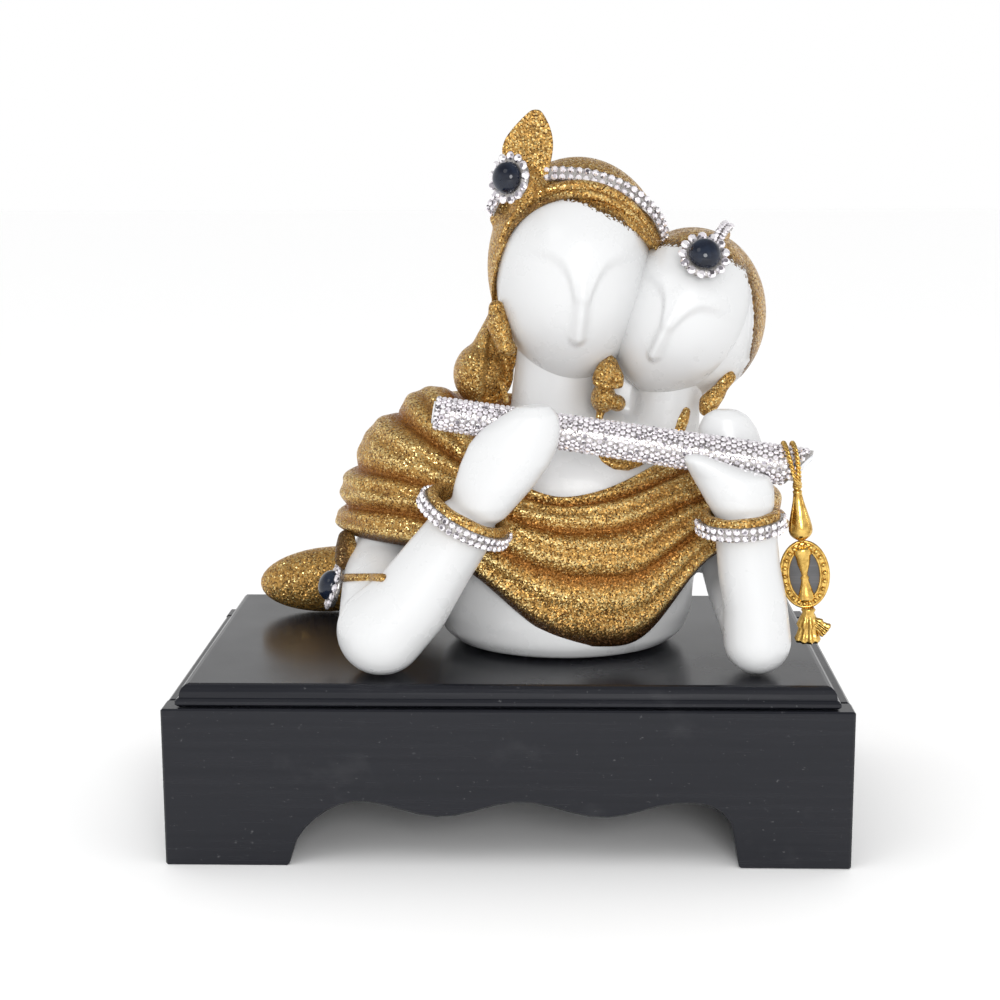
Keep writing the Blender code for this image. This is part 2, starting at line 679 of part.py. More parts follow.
def build_flute(parts, sleeve_finish, tube_finish):
    frame, length = flute_frame()
    bore_left = FLUTE_LEFT_RADIUS - FLUTE_SLEEVE_WALL
    bore_right = FLUTE_RIGHT_RADIUS - FLUTE_SLEEVE_WALL
    add_object("flute_sleeve", tube(
        ((0, FLUTE_LEFT_RADIUS), (length - FLUTE_SLANT, FLUTE_RIGHT_RADIUS)),
        ((0, bore_left), (length - FLUTE_SLANT, bore_right)), FLUTE_SIDES, frame, FLUTE_SLANT,
    ), parts, sleeve_finish)
    start, stop = FLUTE_TUBE_RECESS, length - FLUTE_SLANT - FLUTE_TUBE_RECESS
    left, right = bore_left - GAP, bore_right - GAP
    add_object("flute_tube", tube(
        ((start, left), (stop, right)),
        ((start, left - FLUTE_TUBE_WALL), (stop, right - FLUTE_TUBE_WALL)), FLUTE_SIDES, frame, FLUTE_SLANT,
    ), parts, tube_finish)


def build_brooch(name, brooch, parts, setting_finish, stone_finish):
    frame = facing(on_figure(*brooch["centre"]), brooch["normal"])
    half = BROOCH_THICKNESS / 2
    radius = brooch["radius"]
    add_object(name + "_setting", turned((
        (-half, radius * 0.92), (half * 0.4, radius), (half, radius * 0.9),
    ), BROOCH_SIDES, frame), parts, setting_finish)
    dome = []
    for k in range(5):
        a = math.pi / 2 * k / 5
        dome.append((half + GAP + CABOCHON_HEIGHT * math.sin(a), CABOCHON_RADIUS * math.cos(a)))
    dome.append((half + GAP + CABOCHON_HEIGHT, CABOCHON_RADIUS * 0.12))
    add_object(name + "_stone", turned(dome, 16, frame), parts, stone_finish)


# Tassel.


def build_tassel(parts, finish):
    frame, length = flute_frame()
    hang = frame @ Vector((0, 0, length - FLUTE_SLANT * 2))
    reach = FLUTE_RIGHT_RADIUS + GAP + THREAD_RADIUS
    drop_top = hang + Vector((THREAD_LEAN, 0, -(reach + THREAD_DIP + THREAD_RADIUS + GAP)))
    turns = 20
    rings = []
    centres = []
    for k in range(turns):
        a = math.tau * k / turns
        low = max(0.0, -math.cos(a))
        dip = THREAD_DIP * low**6
        centres.append(hang + Vector((THREAD_LEAN * low, math.sin(a) * reach, math.cos(a) * reach - dip)))
    bm = bmesh.new()
    for k in range(turns):
        along = (centres[(k + 1) % turns] - centres[k - 1]).normalized()
        side = along.cross(Vector((1, 0, 0)))
        rings.append([bm.verts.new(
            centres[k] + (Vector((1, 0, 0)) * math.cos(b) + side * math.sin(b)) * THREAD_RADIUS
        ) for b in (math.tau * i / 6 for i in range(6))])
    for k in range(turns):
        following = rings[(k + 1) % turns]
        for i in range(6):
            j = (i + 1) % 6
            bm.faces.new((rings[k][i], rings[k][j], following[j], following[i]))
    add_object("tassel_thread", bm, parts, finish)
    down = facing(drop_top, (DROP_LEAN, 0, -1), (1, 0, 0))
    drop = [
        (0.0, DROP_RADIUS * 0.36), (DROP_LENGTH * 0.06, DROP_RADIUS * 0.42),
        (DROP_LENGTH * 0.5, DROP_RADIUS * 0.8), (DROP_LENGTH * 0.76, DROP_RADIUS),
        (DROP_LENGTH * 0.9, DROP_RADIUS * 0.86), (DROP_LENGTH, DROP_RADIUS * 0.36),
    ]
    add_object("tassel_drop", turned(drop, 14, down), parts, finish)
    charm = facing(down @ Vector((0, 0, DROP_LENGTH + GAP)), (CHARM_LEAN, 0, -1), (1, 0, 0))
    build_charm(charm, parts, finish)
    cap = facing(charm @ Vector((0, 0, CHARM_HEIGHT + GAP)), (CAP_LEAN, 0, -1), (1, 0, 0))
    profile = [
        (0.0, CAP_TOP_RADIUS), (CAP_LENGTH * 0.22, CAP_TOP_RADIUS * 1.25),
        (CAP_LENGTH * 0.62, CAP_WAIST_RADIUS * 0.86), (CAP_LENGTH * 0.70, CAP_WAIST_RADIUS),
        (CAP_LENGTH * 0.76, CAP_END_RADIUS), (CAP_LENGTH, CAP_END_RADIUS),
    ]
    add_object("tassel_cap", turned(profile, 14, cap), parts, finish)


def build_charm(frame, parts, finish):
    """The oval ring with a slanting bar, narrow in its middle, across it. It hangs along the frame's z."""
    middle = frame @ Matrix.Translation((0, 0, CHARM_HEIGHT / 2))
    steps = 22
    bm = bmesh.new()
    rows = []
    half = CHARM_THICKNESS / 2
    for k in range(steps):
        a = math.tau * k / steps
        out = Vector((math.sin(a), 0, math.cos(a)))
        outer = Vector((CHARM_WIDTH / 2 * out.x, 0, CHARM_HEIGHT / 2 * out.z))
        inner = outer - CHARM_RIM * out
        deep = Vector((0, half, 0))
        corners = (outer - deep, outer + deep, inner + deep, inner - deep)
        rows.append([bm.verts.new(middle @ corner) for corner in corners])
    for k in range(steps):
        following = rows[(k + 1) % steps]
        for i in range(4):
            j = (i + 1) % 4
            bm.faces.new((rows[k][i], rows[k][j], following[j], following[i]))
    ring = add_object("tassel_charm", bm, parts, finish)
    lean = (CHARM_WIDTH / 2 - CHARM_RIM) * 0.35
    reach = CHARM_HEIGHT / 2 - CHARM_RIM * 0.6
    low, high = middle @ Vector((-lean, 0, -reach)), middle @ Vector((lean, 0, reach))
    span = (high - low).length
    profile = [(span * share, radius) for share, radius in CHARM_BAR]
    bar = turned(profile, 8, facing(low, high - low, (0, 1, 0)))
    helper = add_object("charm_bar", bar, bpy.data.collections["joined pieces"])
    modifier = ring.modifiers.new("Bar", "BOOLEAN")
    modifier.operation = "UNION"
    modifier.object = helper
    modifier.solver = "EXACT"


# Plinth.


def arch_height(x):
    """The height of the opening under the front board at x."""
    left, first = ARCH_LEFT_TOE * PLINTH_WIDTH, ARCH_FIRST_CREST * PLINTH_WIDTH
    last, right = ARCH_LAST_CREST * PLINTH_WIDTH, ARCH_RIGHT_TOE * PLINTH_WIDTH
    if x <= first:
        share = min(1.0, (first - x) / (first - left))
        return ARCH_RISE * (1 - share**ARCH_LEFT_POWER) ** (1 / ARCH_LEFT_POWER)
    if x >= last:
        share = min(1.0, (x - last) / (right - last))
        return ARCH_RISE * (1 - share**ARCH_RIGHT_POWER) ** (1 / ARCH_RIGHT_POWER)
    wave = math.sin(2 * math.pi * (x - first) / (last - first))
    return ARCH_RISE - ARCH_DIP * wave * wave


def arch_outline():
    left, right = ARCH_LEFT_TOE * PLINTH_WIDTH, ARCH_RIGHT_TOE * PLINTH_WIDTH
    points = []
    for k in range(ARCH_STEPS + 1):
        share = (1 - math.cos(math.pi * k / ARCH_STEPS)) / 2
        even = k / ARCH_STEPS
        x = left + (right - left) * (0.5 * share + 0.5 * even)
        points.append((x, arch_height(x)))
    return points


def board(name, outline, thickness, placing, parts, finish):
    """A board cut to an outline in its own x and z, from y = 0 to its thickness."""
    bm = bmesh.new()
    face = bm.faces.new([bm.verts.new((x, 0, z)) for x, z in outline])
    made = bmesh.ops.extrude_face_region(bm, geom=[face])
    moved = [item for item in made["geom"] if isinstance(item, bmesh.types.BMVert)]
    bmesh.ops.translate(bm, verts=moved, vec=(0, thickness, 0))
    bmesh.ops.triangulate(bm, faces=[item for item in bm.faces if len(item.verts) > 4])
    bmesh.ops.transform(bm, matrix=placing, verts=bm.verts)
    obj = add_object(name, bm, parts, finish)
    bevel = obj.modifiers.new("Rounding", "BEVEL")
    bevel.width = FRAME_ROUNDING
    bevel.segments = 1
    bevel.limit_method = "ANGLE"
    bevel.angle_limit = math.radians(40)


def build_plinth(parts, finish):
    half = PLINTH_WIDTH / 2
    arched = [(-half, FRAME_HEIGHT), (-half, 0), *arch_outline(), (half, 0), (half, FRAME_HEIGHT)]
    front = Matrix.Translation((0, -PLINTH_DEPTH / 2, 0))
    back = Matrix.Translation((0, PLINTH_DEPTH / 2, 0)) @ Matrix.Rotation(math.pi, 4, "Z")
    board("plinth_front", arched, FRAME_THICKNESS, front, parts, finish)
    board("plinth_back", arched, FRAME_THICKNESS, back, parts, finish)
    reach = PLINTH_DEPTH / 2 - FRAME_THICKNESS - GAP
    side = [(-reach, FRAME_HEIGHT), (-reach, 0), (reach, 0), (reach, FRAME_HEIGHT)]
    turn = Matrix.Rotation(math.pi / 2, 4, "Z")
    board("plinth_left", side, FRAME_THICKNESS, Matrix.Translation((-half + FRAME_THICKNESS, 0, 0)) @ turn, parts, finish)
    board("plinth_right", side, FRAME_THICKNESS, Matrix.Translation((half, 0, 0)) @ turn, parts, finish)
    build_top(parts, finish)


def build_top(parts, finish):
    """The top board, with a bead, a groove and a round edge all the way round."""
    bead, groove = TOP_BEAD_HEIGHT, TOP_GROOVE_DEPTH
    profile = [(bead * 0.3, 0.0), (0.0, bead * 0.3), (0.0, bead * 0.7), (groove * 0.6, bead)]
    profile += [(groove, bead + 0.0002), (groove, bead + 0.0006)]
    radius = TOP_THICKNESS - bead - 0.0006
    for k in range(1, 5):
        a = math.pi / 2 * k / 4
        profile.append((groove + radius * (1 - math.cos(a)) * 0.8, bead + 0.0006 + radius * math.sin(a)))
    rings = []
    for inset, height in profile:
        x = PLINTH_WIDTH / 2 - TOP_SIDE_INSET - inset
        y = PLINTH_DEPTH / 2 - TOP_FRONT_INSET - inset
        z = FRAME_HEIGHT + GAP + height
        rings.append([Vector((-x, -y, z)), Vector((x, -y, z)), Vector((x, y, z)), Vector((-x, y, z))])
    ends = (Vector((0, 0, FRAME_HEIGHT + GAP)), Vector((0, 0, PLINTH_TOP)))
    add_object("plinth_top", loft(rings, ends), parts, finish)


def main():
    clear_scene()
    parts = new_collection("statue")
    seats = new_collection("seats", helper=True)
    new_collection("joined pieces", helper=True)
    resin = new_material("white resin", WHITE_RESIN)
    plastic = new_material("white plastic", WHITE_PLASTIC)
    stones = new_material("stone strip", STONE_STRIP)
    dark = new_material("dark cabochon", DARK_CABOCHON)
    gold = new_material("bright gold", BRIGHT_GOLD)
    paint = new_material("painted board", PAINTED_BOARD)
    build_figure(parts, seats, resin)
    build_flute(parts, stones, plastic)
    for name, (path, outward) in band_paths().items():
        add_object(name, ribbon(path, outward, BAND_WIDTH, BAND_THICKNESS), parts, stones)
    for name, brooch in BROOCHES.items():
        build_brooch(name, brooch, parts, stones, dark)
    build_tassel(parts, gold)
    build_plinth(parts, paint)


main()
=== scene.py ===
"""Looks of the statue: two white heads under one gold shawl, a stone-set flute and a dark plinth.

Sizes are in millimetres in the fields, and in metres in every mesh. A point of the figure is
written as (x, y, height over the plinth's top), as the casting's own forms are.
"""
import logging
import math
from abc import ABC, abstractmethod
from collections.abc import Iterable, Sequence
from dataclasses import dataclass, field
from enum import Enum

import bpy
import numpy as np
from mathutils import Matrix, Quaternion, Vector

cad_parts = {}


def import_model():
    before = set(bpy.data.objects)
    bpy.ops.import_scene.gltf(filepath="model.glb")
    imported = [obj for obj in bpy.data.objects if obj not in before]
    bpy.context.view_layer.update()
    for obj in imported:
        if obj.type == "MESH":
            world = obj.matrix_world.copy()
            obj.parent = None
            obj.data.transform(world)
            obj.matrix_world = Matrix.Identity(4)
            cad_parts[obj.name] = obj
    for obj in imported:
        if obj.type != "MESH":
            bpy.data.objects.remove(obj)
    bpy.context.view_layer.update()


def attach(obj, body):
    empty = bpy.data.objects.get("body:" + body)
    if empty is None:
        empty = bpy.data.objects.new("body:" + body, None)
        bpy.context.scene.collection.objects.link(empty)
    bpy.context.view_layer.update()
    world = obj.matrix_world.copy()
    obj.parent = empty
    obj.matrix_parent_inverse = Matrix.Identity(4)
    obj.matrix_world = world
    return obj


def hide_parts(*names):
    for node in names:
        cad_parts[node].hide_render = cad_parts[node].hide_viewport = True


LOG = logging.getLogger("statue")
MM = 0.001
FLOOR_OF_FIGURE = 52.5
Point = tuple[float, float, float]
Section = tuple[float, float, float, float]
Level = tuple[float, float, float, float, float]
Colour = tuple[float, float, float]
Form = bpy.types.Object
Socket = bpy.types.NodeSocket

EYE: Point = (12.8, -556.3, 146.4)
FLUTE_START: Point = (-20.6, -35.5, 74.0)
FLUTE_END: Point = (85.8, -35.5, 57.9)


class Slot(Enum):
    """Material slots of the record."""

    RESIN = "white_resin"
    PLASTIC = "white_plastic"
    STONES = "stone_strip"
    CABOCHON = "dark_cabochon"
    GOLD = "bright_gold"
    BOARD = "painted_board"


def on_figure(x: float, y: float, z: float) -> Vector:
    """Gives a point of the figure in metres.

    Args:
        x: Place to the right, in millimetres.
        y: Depth, in millimetres.
        z: Height over the plinth's top, in millimetres.

    Returns:
        The point in the statue's frame.
    """
    return Vector((x, y, z + FLOOR_OF_FIGURE)) * MM


def smooth_step(low: float, high: float, value: np.ndarray | float) -> np.ndarray:
    """Rises softly from 0 at low to 1 at high.

    Args:
        low: Where the rise starts.
        high: Where it ends.
        value: One value or many.

    Returns:
        The risen share of each value.
    """
    share = np.clip((np.asarray(value, float) - low) / (high - low), 0.0, 1.0)
    return share * share * (3 - 2 * share)


def facing(point: Vector, direction: Sequence[float], spin: Sequence[float] = (0, 0, 1)) -> Matrix:
    """Makes a frame at a point whose z looks along a direction.

    Args:
        point: Where the frame stands, in metres.
        direction: Where its z looks.
        spin: A direction that its x stays near.

    Returns:
        The frame as a matrix.
    """
    z = Vector(direction).normalized()
    x = (Vector(spin) - z * Vector(spin).dot(z)).normalized()
    frame = Matrix((x, z.cross(x), z)).transposed().to_4x4()
    frame.translation = point
    return frame


# Work on meshes.


def let_go() -> None:
    """Deselects everything."""
    bpy.ops.object.select_all(action="DESELECT")


def take(obj: Form) -> None:
    """Selects one object alone and makes it the active one.

    Args:
        obj: The object.
    """
    let_go()
    obj.select_set(True)
    bpy.context.view_layer.objects.active = obj


def settle(obj: Form) -> Form:
    """Moves an object's place, turn and scale into its mesh.

    Args:
        obj: The object.

    Returns:
        The same object.
    """
    take(obj)
    bpy.ops.object.transform_apply(location=True, rotation=True, scale=True)
    return obj


def join(pieces: Sequence[Form], name: str) -> Form:
    """Joins pieces into the first of them.

    Args:
        pieces: The pieces, each with its place in its mesh.
        name: The name of the joined object.

    Returns:
        The joined object.
    """
    let_go()
    for piece in pieces:
        piece.select_set(True)
    bpy.context.view_layer.objects.active = pieces[0]
    if len(pieces) > 1:
        bpy.ops.object.join()
    pieces[0].name = name
    pieces[0].data.name = name
    return pieces[0]


def apply(obj: Form, kind: str, **settings: object) -> None:
    """Adds a modifier with its settings and applies it.

    Args:
        obj: The object that it shapes.
        kind: Blender's name for the modifier's type.
        **settings: Its settings by name.
    """
    take(obj)
    modifier = obj.modifiers.new(kind.title(), kind)
    for key, value in settings.items():
        setattr(modifier, key, value)
    bpy.ops.object.modifier_apply(modifier=modifier.name)


def fuse(pieces: Sequence[Form], name: str, grain: float, passes: int,
         most_triangles: int = 180_000) -> Form:
    """Melts overlapping forms into one soft casting.

    Args:
        pieces: The closed forms.
        name: The name of the casting.
        grain: The size of its faces, in millimetres.
        passes: How often its surface is smoothed.
        most_triangles: What it is thinned to, if it has more.

    Returns:
        The casting.
    """
    casting = join(pieces, name)
    apply(casting, "REMESH", mode="VOXEL", voxel_size=grain * MM)
    if passes:
        apply(casting, "SMOOTH", factor=0.5, iterations=passes)
    count = 2 * len(casting.data.polygons)
    if count > most_triangles:
        apply(casting, "DECIMATE", ratio=most_triangles / count)
    return casting


def right_way_out(obj: Form) -> None:
    """Merges an object's doubles and turns its faces outwards.

    Args:
        obj: A closed object.
    """
    take(obj)
    bpy.ops.object.mode_set(mode="EDIT")
    bpy.ops.mesh.select_all(action="SELECT")
    bpy.ops.mesh.remove_doubles(threshold=1e-7)
    bpy.ops.mesh.normals_make_consistent(inside=False)
    bpy.ops.object.mode_set(mode="OBJECT")


def points_of(obj: Form) -> np.ndarray:
    """Reads an object's points.

    Args:
        obj: The object, at the origin.

    Returns:
        Rows of x, y and z, in metres.
    """
    flat = np.empty(3 * len(obj.data.vertices))
    obj.data.vertices.foreach_get("co", flat)
    return flat.reshape(-1, 3)


def put_points(obj: Form, points: np.ndarray) -> None:
    """Writes an object's points back from rows of x, y and z, in metres."""
    obj.data.vertices.foreach_set("co", points.reshape(-1))
    obj.data.update()


def note(obj: Form, name: str, values: np.ndarray | float, domain: str = "POINT") -> None:
    """Stores a number for each point or face, which a finish reads.

    Args:
        obj: The object that carries the numbers.
        name: What the finish calls them.
        values: One number for all, or one for each.
        domain: POINT or FACE.
    """
    count = len(obj.data.vertices) if domain == "POINT" else len(obj.data.polygons)
    layer = obj.data.attributes.get(name) or obj.data.attributes.new(name, "FLOAT", domain)
    layer.data.foreach_set("value", np.broadcast_to(np.asarray(values, np.float32), (count,)).copy())


def made(name: str, points: Iterable[Sequence[float]], faces: Iterable[Sequence[int]]) -> Form:
    """Makes an object from points in metres and faces.

    Args:
        name: The object's name.
        points: Its points.
        faces: The points of each face.

    Returns:
        The object, linked to the scene.
    """
    mesh = bpy.data.meshes.new(name)
    mesh.from_pydata([tuple(point) for point in points], [], [tuple(face) for face in faces])
    obj = bpy.data.objects.new(name, mesh)
    bpy.context.scene.collection.objects.link(obj)
    return obj


def ball(centre: Point, radii: Point, tilt: float = 0.0, sides: int = 64) -> Form:
    """Adds an egg of the figure.

    Args:
        centre: Its middle, as a point of the figure.
        radii: Its half width, half depth and half height, in millimetres.
        tilt: How far its top leans to the right, in degrees.
        sides: How many sides it has round its waist.

    Returns:
        The egg.
    """
    let_go()
    bpy.ops.mesh.primitive_uv_sphere_add(
        segments=sides, ring_count=sides // 2, radius=MM, location=on_figure(*centre),
        rotation=(0, math.radians(tilt), 0), scale=radii,
    )
    return settle(bpy.context.object)


def limb(sections: Sequence[Section], sides: int = 40) -> Form:
    """Adds a round-ended limb: each stretch is the hull stretched over two balls.

    Args:
        sections: (x, y, height, radius) of each ball, in millimetres.
        sides: How many sides each ball has.

    Returns:
        The limb, as overlapping stretches.
    """
    stretches = []
    for first, last in zip(sections, sections[1:]):
        let_go()
        for index, (x, y, z, radius) in enumerate((first, last)):
            bpy.ops.mesh.primitive_uv_sphere_add(
                segments=sides, ring_count=sides // 2, radius=radius * MM, location=on_figure(x, y, z)
            )
            if index == 0:
                settle(bpy.context.object)
                bpy.ops.object.mode_set(mode="EDIT")
        bpy.ops.mesh.select_all(action="SELECT")
        bpy.ops.mesh.convex_hull()
        bpy.ops.object.mode_set(mode="OBJECT")
        stretches.append(bpy.context.object)
    return join(stretches, "limb")


def stack(levels: Sequence[Level], sides: int = 72) -> Form:
    """Adds a form drawn up from a disc, level by level.

    Args:
        levels: (height, middle x, middle y, half width, half depth) of each level, in millimetres.
        sides: How many sides each level has.

    Returns:
        The closed form.
    """
    height, x, y, width, depth = levels[0]
    let_go()
    bpy.ops.mesh.primitive_circle_add(
        vertices=sides, radius=MM, fill_type="NGON", location=on_figure(x, y, height)
    )
    form = bpy.context.object
    form.scale = (width, depth, 1)
    settle(form)
    bpy.ops.object.mode_set(mode="EDIT")
    bpy.ops.mesh.select_all(action="SELECT")
    for below, level in zip(levels, levels[1:]):
        middle = on_figure(level[1], level[2], level[0])
        step = middle - on_figure(below[1], below[2], below[0])
        bpy.ops.mesh.extrude_region_move(TRANSFORM_OT_translate={"value": step})
        grow = (level[3] / below[3], level[4] / below[4], 1)
        bpy.ops.transform.resize(value=grow, center_override=middle)
    bpy.ops.object.mode_set(mode="OBJECT")
    right_way_out(form)
    return form


def turned(profile: Sequence[tuple[float, float]], frame: Matrix, sides: int = 32) -> Form:
    """Adds a form turned about a frame's z, drawn up from a disc.

    Args:
        profile: (height along z, radius) of each step, in millimetres.
        frame: Where the form stands, in metres.
        sides: How many sides it has.

    Returns:
        The closed form.
    """
    height, radius = profile[0]
    let_go()
    bpy.ops.mesh.primitive_circle_add(
        vertices=sides, radius=radius * MM, fill_type="NGON", location=(0, 0, height * MM)
    )
    form = settle(bpy.context.object)
    bpy.ops.object.mode_set(mode="EDIT")
    bpy.ops.mesh.select_all(action="SELECT")
    for (low, before), (high, after) in zip(profile, profile[1:]):
        bpy.ops.mesh.extrude_region_move(TRANSFORM_OT_translate={"value": (0, 0, (high - low) * MM)})
        bpy.ops.transform.resize(value=(after / before, after / before, 1), center_override=(0, 0, 0))
    bpy.ops.object.mode_set(mode="OBJECT")
    form.matrix_world = frame
    settle(form)
    right_way_out(form)
    return form


def tube_along(path: Sequence[Vector], radius: float, sides: int = 10, closed: bool = False) -> Form:
    """Adds a round cord along a path.

    Args:
        path: Its middle line, in metres.
        radius: Its radius, in millimetres.
        sides: How many sides it has.
        closed: Whether its end meets its start.

    Returns:
        The cord, as a mesh.
    """
    count = len(path)
    side = Vector((0.31, 0.92, 0.23))
    points, faces = [], []
    for k, centre in enumerate(path):
        ahead = path[(k + 1) % count] if closed else path[min(k + 1, count - 1)]
        behind = path[k - 1] if closed else path[max(k - 1, 0)]
        along = (ahead - behind).normalized()
        side = (side - along * side.dot(along)).normalized()
        other = along.cross(side)
        for i in range(sides):
            a = math.tau * i / sides
            points.append(centre + (side * math.cos(a) + other * math.sin(a)) * radius * MM)
    for k in range(count if closed else count - 1):
        row, following = k * sides, (k + 1) % count * sides
        for i in range(sides):
            j = (i + 1) % sides
            faces.append((row + i, row + j, following + j, following + i))
    if not closed:
        faces.append(tuple(range(sides)))
        faces.append(tuple((count - 1) * sides + i for i in range(sides)))
    cord = made("cord", points, faces)
    right_way_out(cord)
    return cord


def stamped(name: str, model: Form, frames: Sequence[Matrix]) -> Form:
    """Copies one small model to many places, as one mesh, and removes the model.

    Args:
        name: The name of the many.
        model: The model, at the origin.
        frames: Where each copy stands.

    Returns:
        The copies, each face with its own number called glint.
    """
    shape = np.c_[points_of(model), np.ones(len(model.data.vertices))]
    outline = [tuple(face.vertices) for face in model.data.polygons]
    rows, faces = [], []
    for index, frame in enumerate(frames):
        rows.append(shape @ np.array(frame).T)
        faces.extend([tuple(corner + index * len(shape) for corner in face) for face in outline])
    bpy.data.objects.remove(model)
    many = made(name, np.vstack(rows)[:, :3], faces)
    note(many, "glint", np.random.default_rng(len(frames)).random(len(faces)), "FACE")
    return many


# Finishes.


class NodeSheet:
    """A node tree being drawn, with short calls for what the finishes repeat."""

    def __init__(self, tree: bpy.types.NodeTree) -> None:
        """Keeps the tree."""
        self.tree = tree

    def add(self, kind: str, **settings: object) -> bpy.types.Node:
        """Adds a node.

        Args:
            kind: The node's type, without the ShaderNode that it starts with.
            **settings: Its properties by name.

        Returns:
            The node.
        """
        node = self.tree.nodes.new("ShaderNode" + kind)
        for key, value in settings.items():
            setattr(node, key, value)
        return node

    def join(self, source: Socket, target: Socket) -> None:
        """Links one socket to another."""
        self.tree.links.new(source, target)

    def feed(self, target: Socket, value: object) -> None:
        """Links a socket to a target, or sets the target to a plain value."""
        if isinstance(value, Socket):
            self.join(value, target)
        else:
            target.default_value = value

    def math(self, operation: str, *values: object) -> Socket:
        """Adds a sum.

        Args:
            operation: What it does, by Blender's name.
            *values: One to three sockets or plain numbers.

        Returns:
            What it gives.
        """
        node = self.add("Math", operation=operation)
        for index, value in enumerate(values):
            self.feed(node.inputs[index], value)
        return node.outputs[0]

    def mix(self, share: object, first: object, second: object) -> Socket:
        """Mixes two colours.

        Args:
            share: How much of the second there is.
            first: A socket or a plain colour.
            second: Another.

        Returns:
            The mixed colour.
        """
        node = self.add("Mix", data_type="RGBA")
        self.feed(node.inputs["Factor"], share)
        for index, colour in ((6, first), (7, second)):
            self.feed(node.inputs[index], (*colour, 1) if isinstance(colour, tuple) else colour)
        return node.outputs[2]

    def span(self, value: object, low: float, high: float, start: float = 0.0,
             end: float = 1.0) -> Socket:
        """Spreads a value softly over a range.

        Args:
            value: The value.
            low: Where the spread starts.
            high: Where it ends.
            start: What it gives at low.
            end: What it gives at high.

        Returns:
            The spread value.
        """
        node = self.add("MapRange", interpolation_type="SMOOTHSTEP")
        for index, item in enumerate((value, low, high, start, end)):
            self.feed(node.inputs[index], item)
        return node.outputs[0]

    def ramp(self, value: object, *stops: tuple[float, Colour]) -> Socket:
        """Adds a colour ramp.

        Args:
            value: What it reads.
            *stops: Place and colour of each stop.

        Returns:
            The ramp's colour.
        """
        node = self.add("ValToRGB")
        elements = node.color_ramp.elements
        while len(elements) < len(stops):
            elements.new(0.5)
        for element, (place, colour) in zip(elements, stops):
            element.position = place
            element.color = (*colour, 1)
        self.feed(node.inputs[0], value)
        return node.outputs[0]

    def number(self, name: str) -> Socket:
        """Reads a number that the mesh carries."""
        return self.add("Attribute", attribute_name=name).outputs["Fac"]

    def place(self) -> Socket:
        """Reads the place on the object."""
        return self.add("TexCoord").outputs["Object"]


@dataclass(frozen=True)
class ShaderGroups:
    """The effects that several finishes share, each drawn once as a node group."""

    @staticmethod
    def _new(name: str, inputs: Sequence[tuple[str, str, object]],
             outputs: Sequence[tuple[str, str]]) -> tuple[NodeSheet, bpy.types.Node, bpy.types.Node]:
        """Starts a group with its sockets.

        Args:
            name: The group's name.
            inputs: Name, kind and first value of each input.
            outputs: Name and kind of each output.

        Returns:
            The sheet, its input node and its output node.
        """
        tree = bpy.data.node_groups.new(name, "ShaderNodeTree")
        for label, kind, value in inputs:
            socket = tree.interface.new_socket(label, in_out="INPUT", socket_type="NodeSocket" + kind)
            if value is not None:
                socket.default_value = value
        for label, kind in outputs:
            tree.interface.new_socket(label, in_out="OUTPUT", socket_type="NodeSocket" + kind)
        return NodeSheet(tree), tree.nodes.new("NodeGroupInput"), tree.nodes.new("NodeGroupOutput")

    @classmethod
    def flakes(cls) -> bpy.types.NodeTree:
        """Draws glitter flakes, each with a chance number and a tipped normal.

        Returns:
            The group, drawn at its first use.
        """
        found = bpy.data.node_groups.get("glitter flakes")
        if found:
            return found
        sheet, entry, leave = cls._new(
            "glitter flakes",
            (("Place", "Vector", None), ("Flakes a metre", "Float", 3000.0), ("Tip", "Float", 0.6)),
            (("Chance", "Float"), ("Normal", "Vector")),
        )
        cells = sheet.add("TexVoronoi")
        sheet.join(entry.outputs[0], cells.inputs["Vector"])
        sheet.join(entry.outputs[1], cells.inputs["Scale"])
        parts = sheet.add("SeparateColor")
        sheet.join(cells.outputs["Color"], parts.inputs[0])
        centred = sheet.add("VectorMath", operation="SUBTRACT")
        sheet.join(cells.outputs["Color"], centred.inputs[0])
        centred.inputs[1].default_value = (0.5, 0.5, 0.5)
        tipped = sheet.add("VectorMath", operation="SCALE")
        sheet.join(centred.outputs[0], tipped.inputs[0])
        sheet.join(entry.outputs[2], tipped.inputs["Scale"])
        whole = sheet.add("VectorMath", operation="ADD")
        sheet.join(sheet.add("NewGeometry").outputs["Normal"], whole.inputs[0])
        sheet.join(tipped.outputs[0], whole.inputs[1])
        even = sheet.add("VectorMath", operation="NORMALIZE")
        sheet.join(whole.outputs[0], even.inputs[0])
        sheet.join(parts.outputs[0], leave.inputs[0])
        sheet.join(even.outputs[0], leave.inputs[1])
        return sheet.tree

    @classmethod
    def mottle(cls) -> bpy.types.NodeTree:
        """Draws soft mottling: noise stretched by Stretch, spread from Low to High.

        Returns:
            The group, drawn at its first use.
        """
        found = bpy.data.node_groups.get("soft mottle")
        if found:
            return found
        sheet, entry, leave = cls._new(
            "soft mottle",
            (("Place", "Vector", None), ("Scale", "Float", 100.0), ("Stretch", "Vector", (1, 1, 1)),
             ("Low", "Float", 0.35), ("High", "Float", 0.65)),
            (("Value", "Float"),),
        )
        stretched = sheet.add("VectorMath", operation="MULTIPLY")
        sheet.join(entry.outputs[0], stretched.inputs[0])
        sheet.join(entry.outputs[2], stretched.inputs[1])
        noise = sheet.add("TexNoise")
        noise.inputs["Detail"].default_value = 5.0
        noise.inputs["Roughness"].default_value = 0.6
        sheet.join(stretched.outputs[0], noise.inputs["Vector"])
        sheet.join(entry.outputs[1], noise.inputs["Scale"])
        spread = sheet.add("MapRange")
        sheet.join(noise.outputs[0], spread.inputs[0])
        sheet.join(entry.outputs[3], spread.inputs[1])
        sheet.join(entry.outputs[4], spread.inputs[2])
        sheet.join(spread.outputs[0], leave.inputs[0])
        return sheet.tree


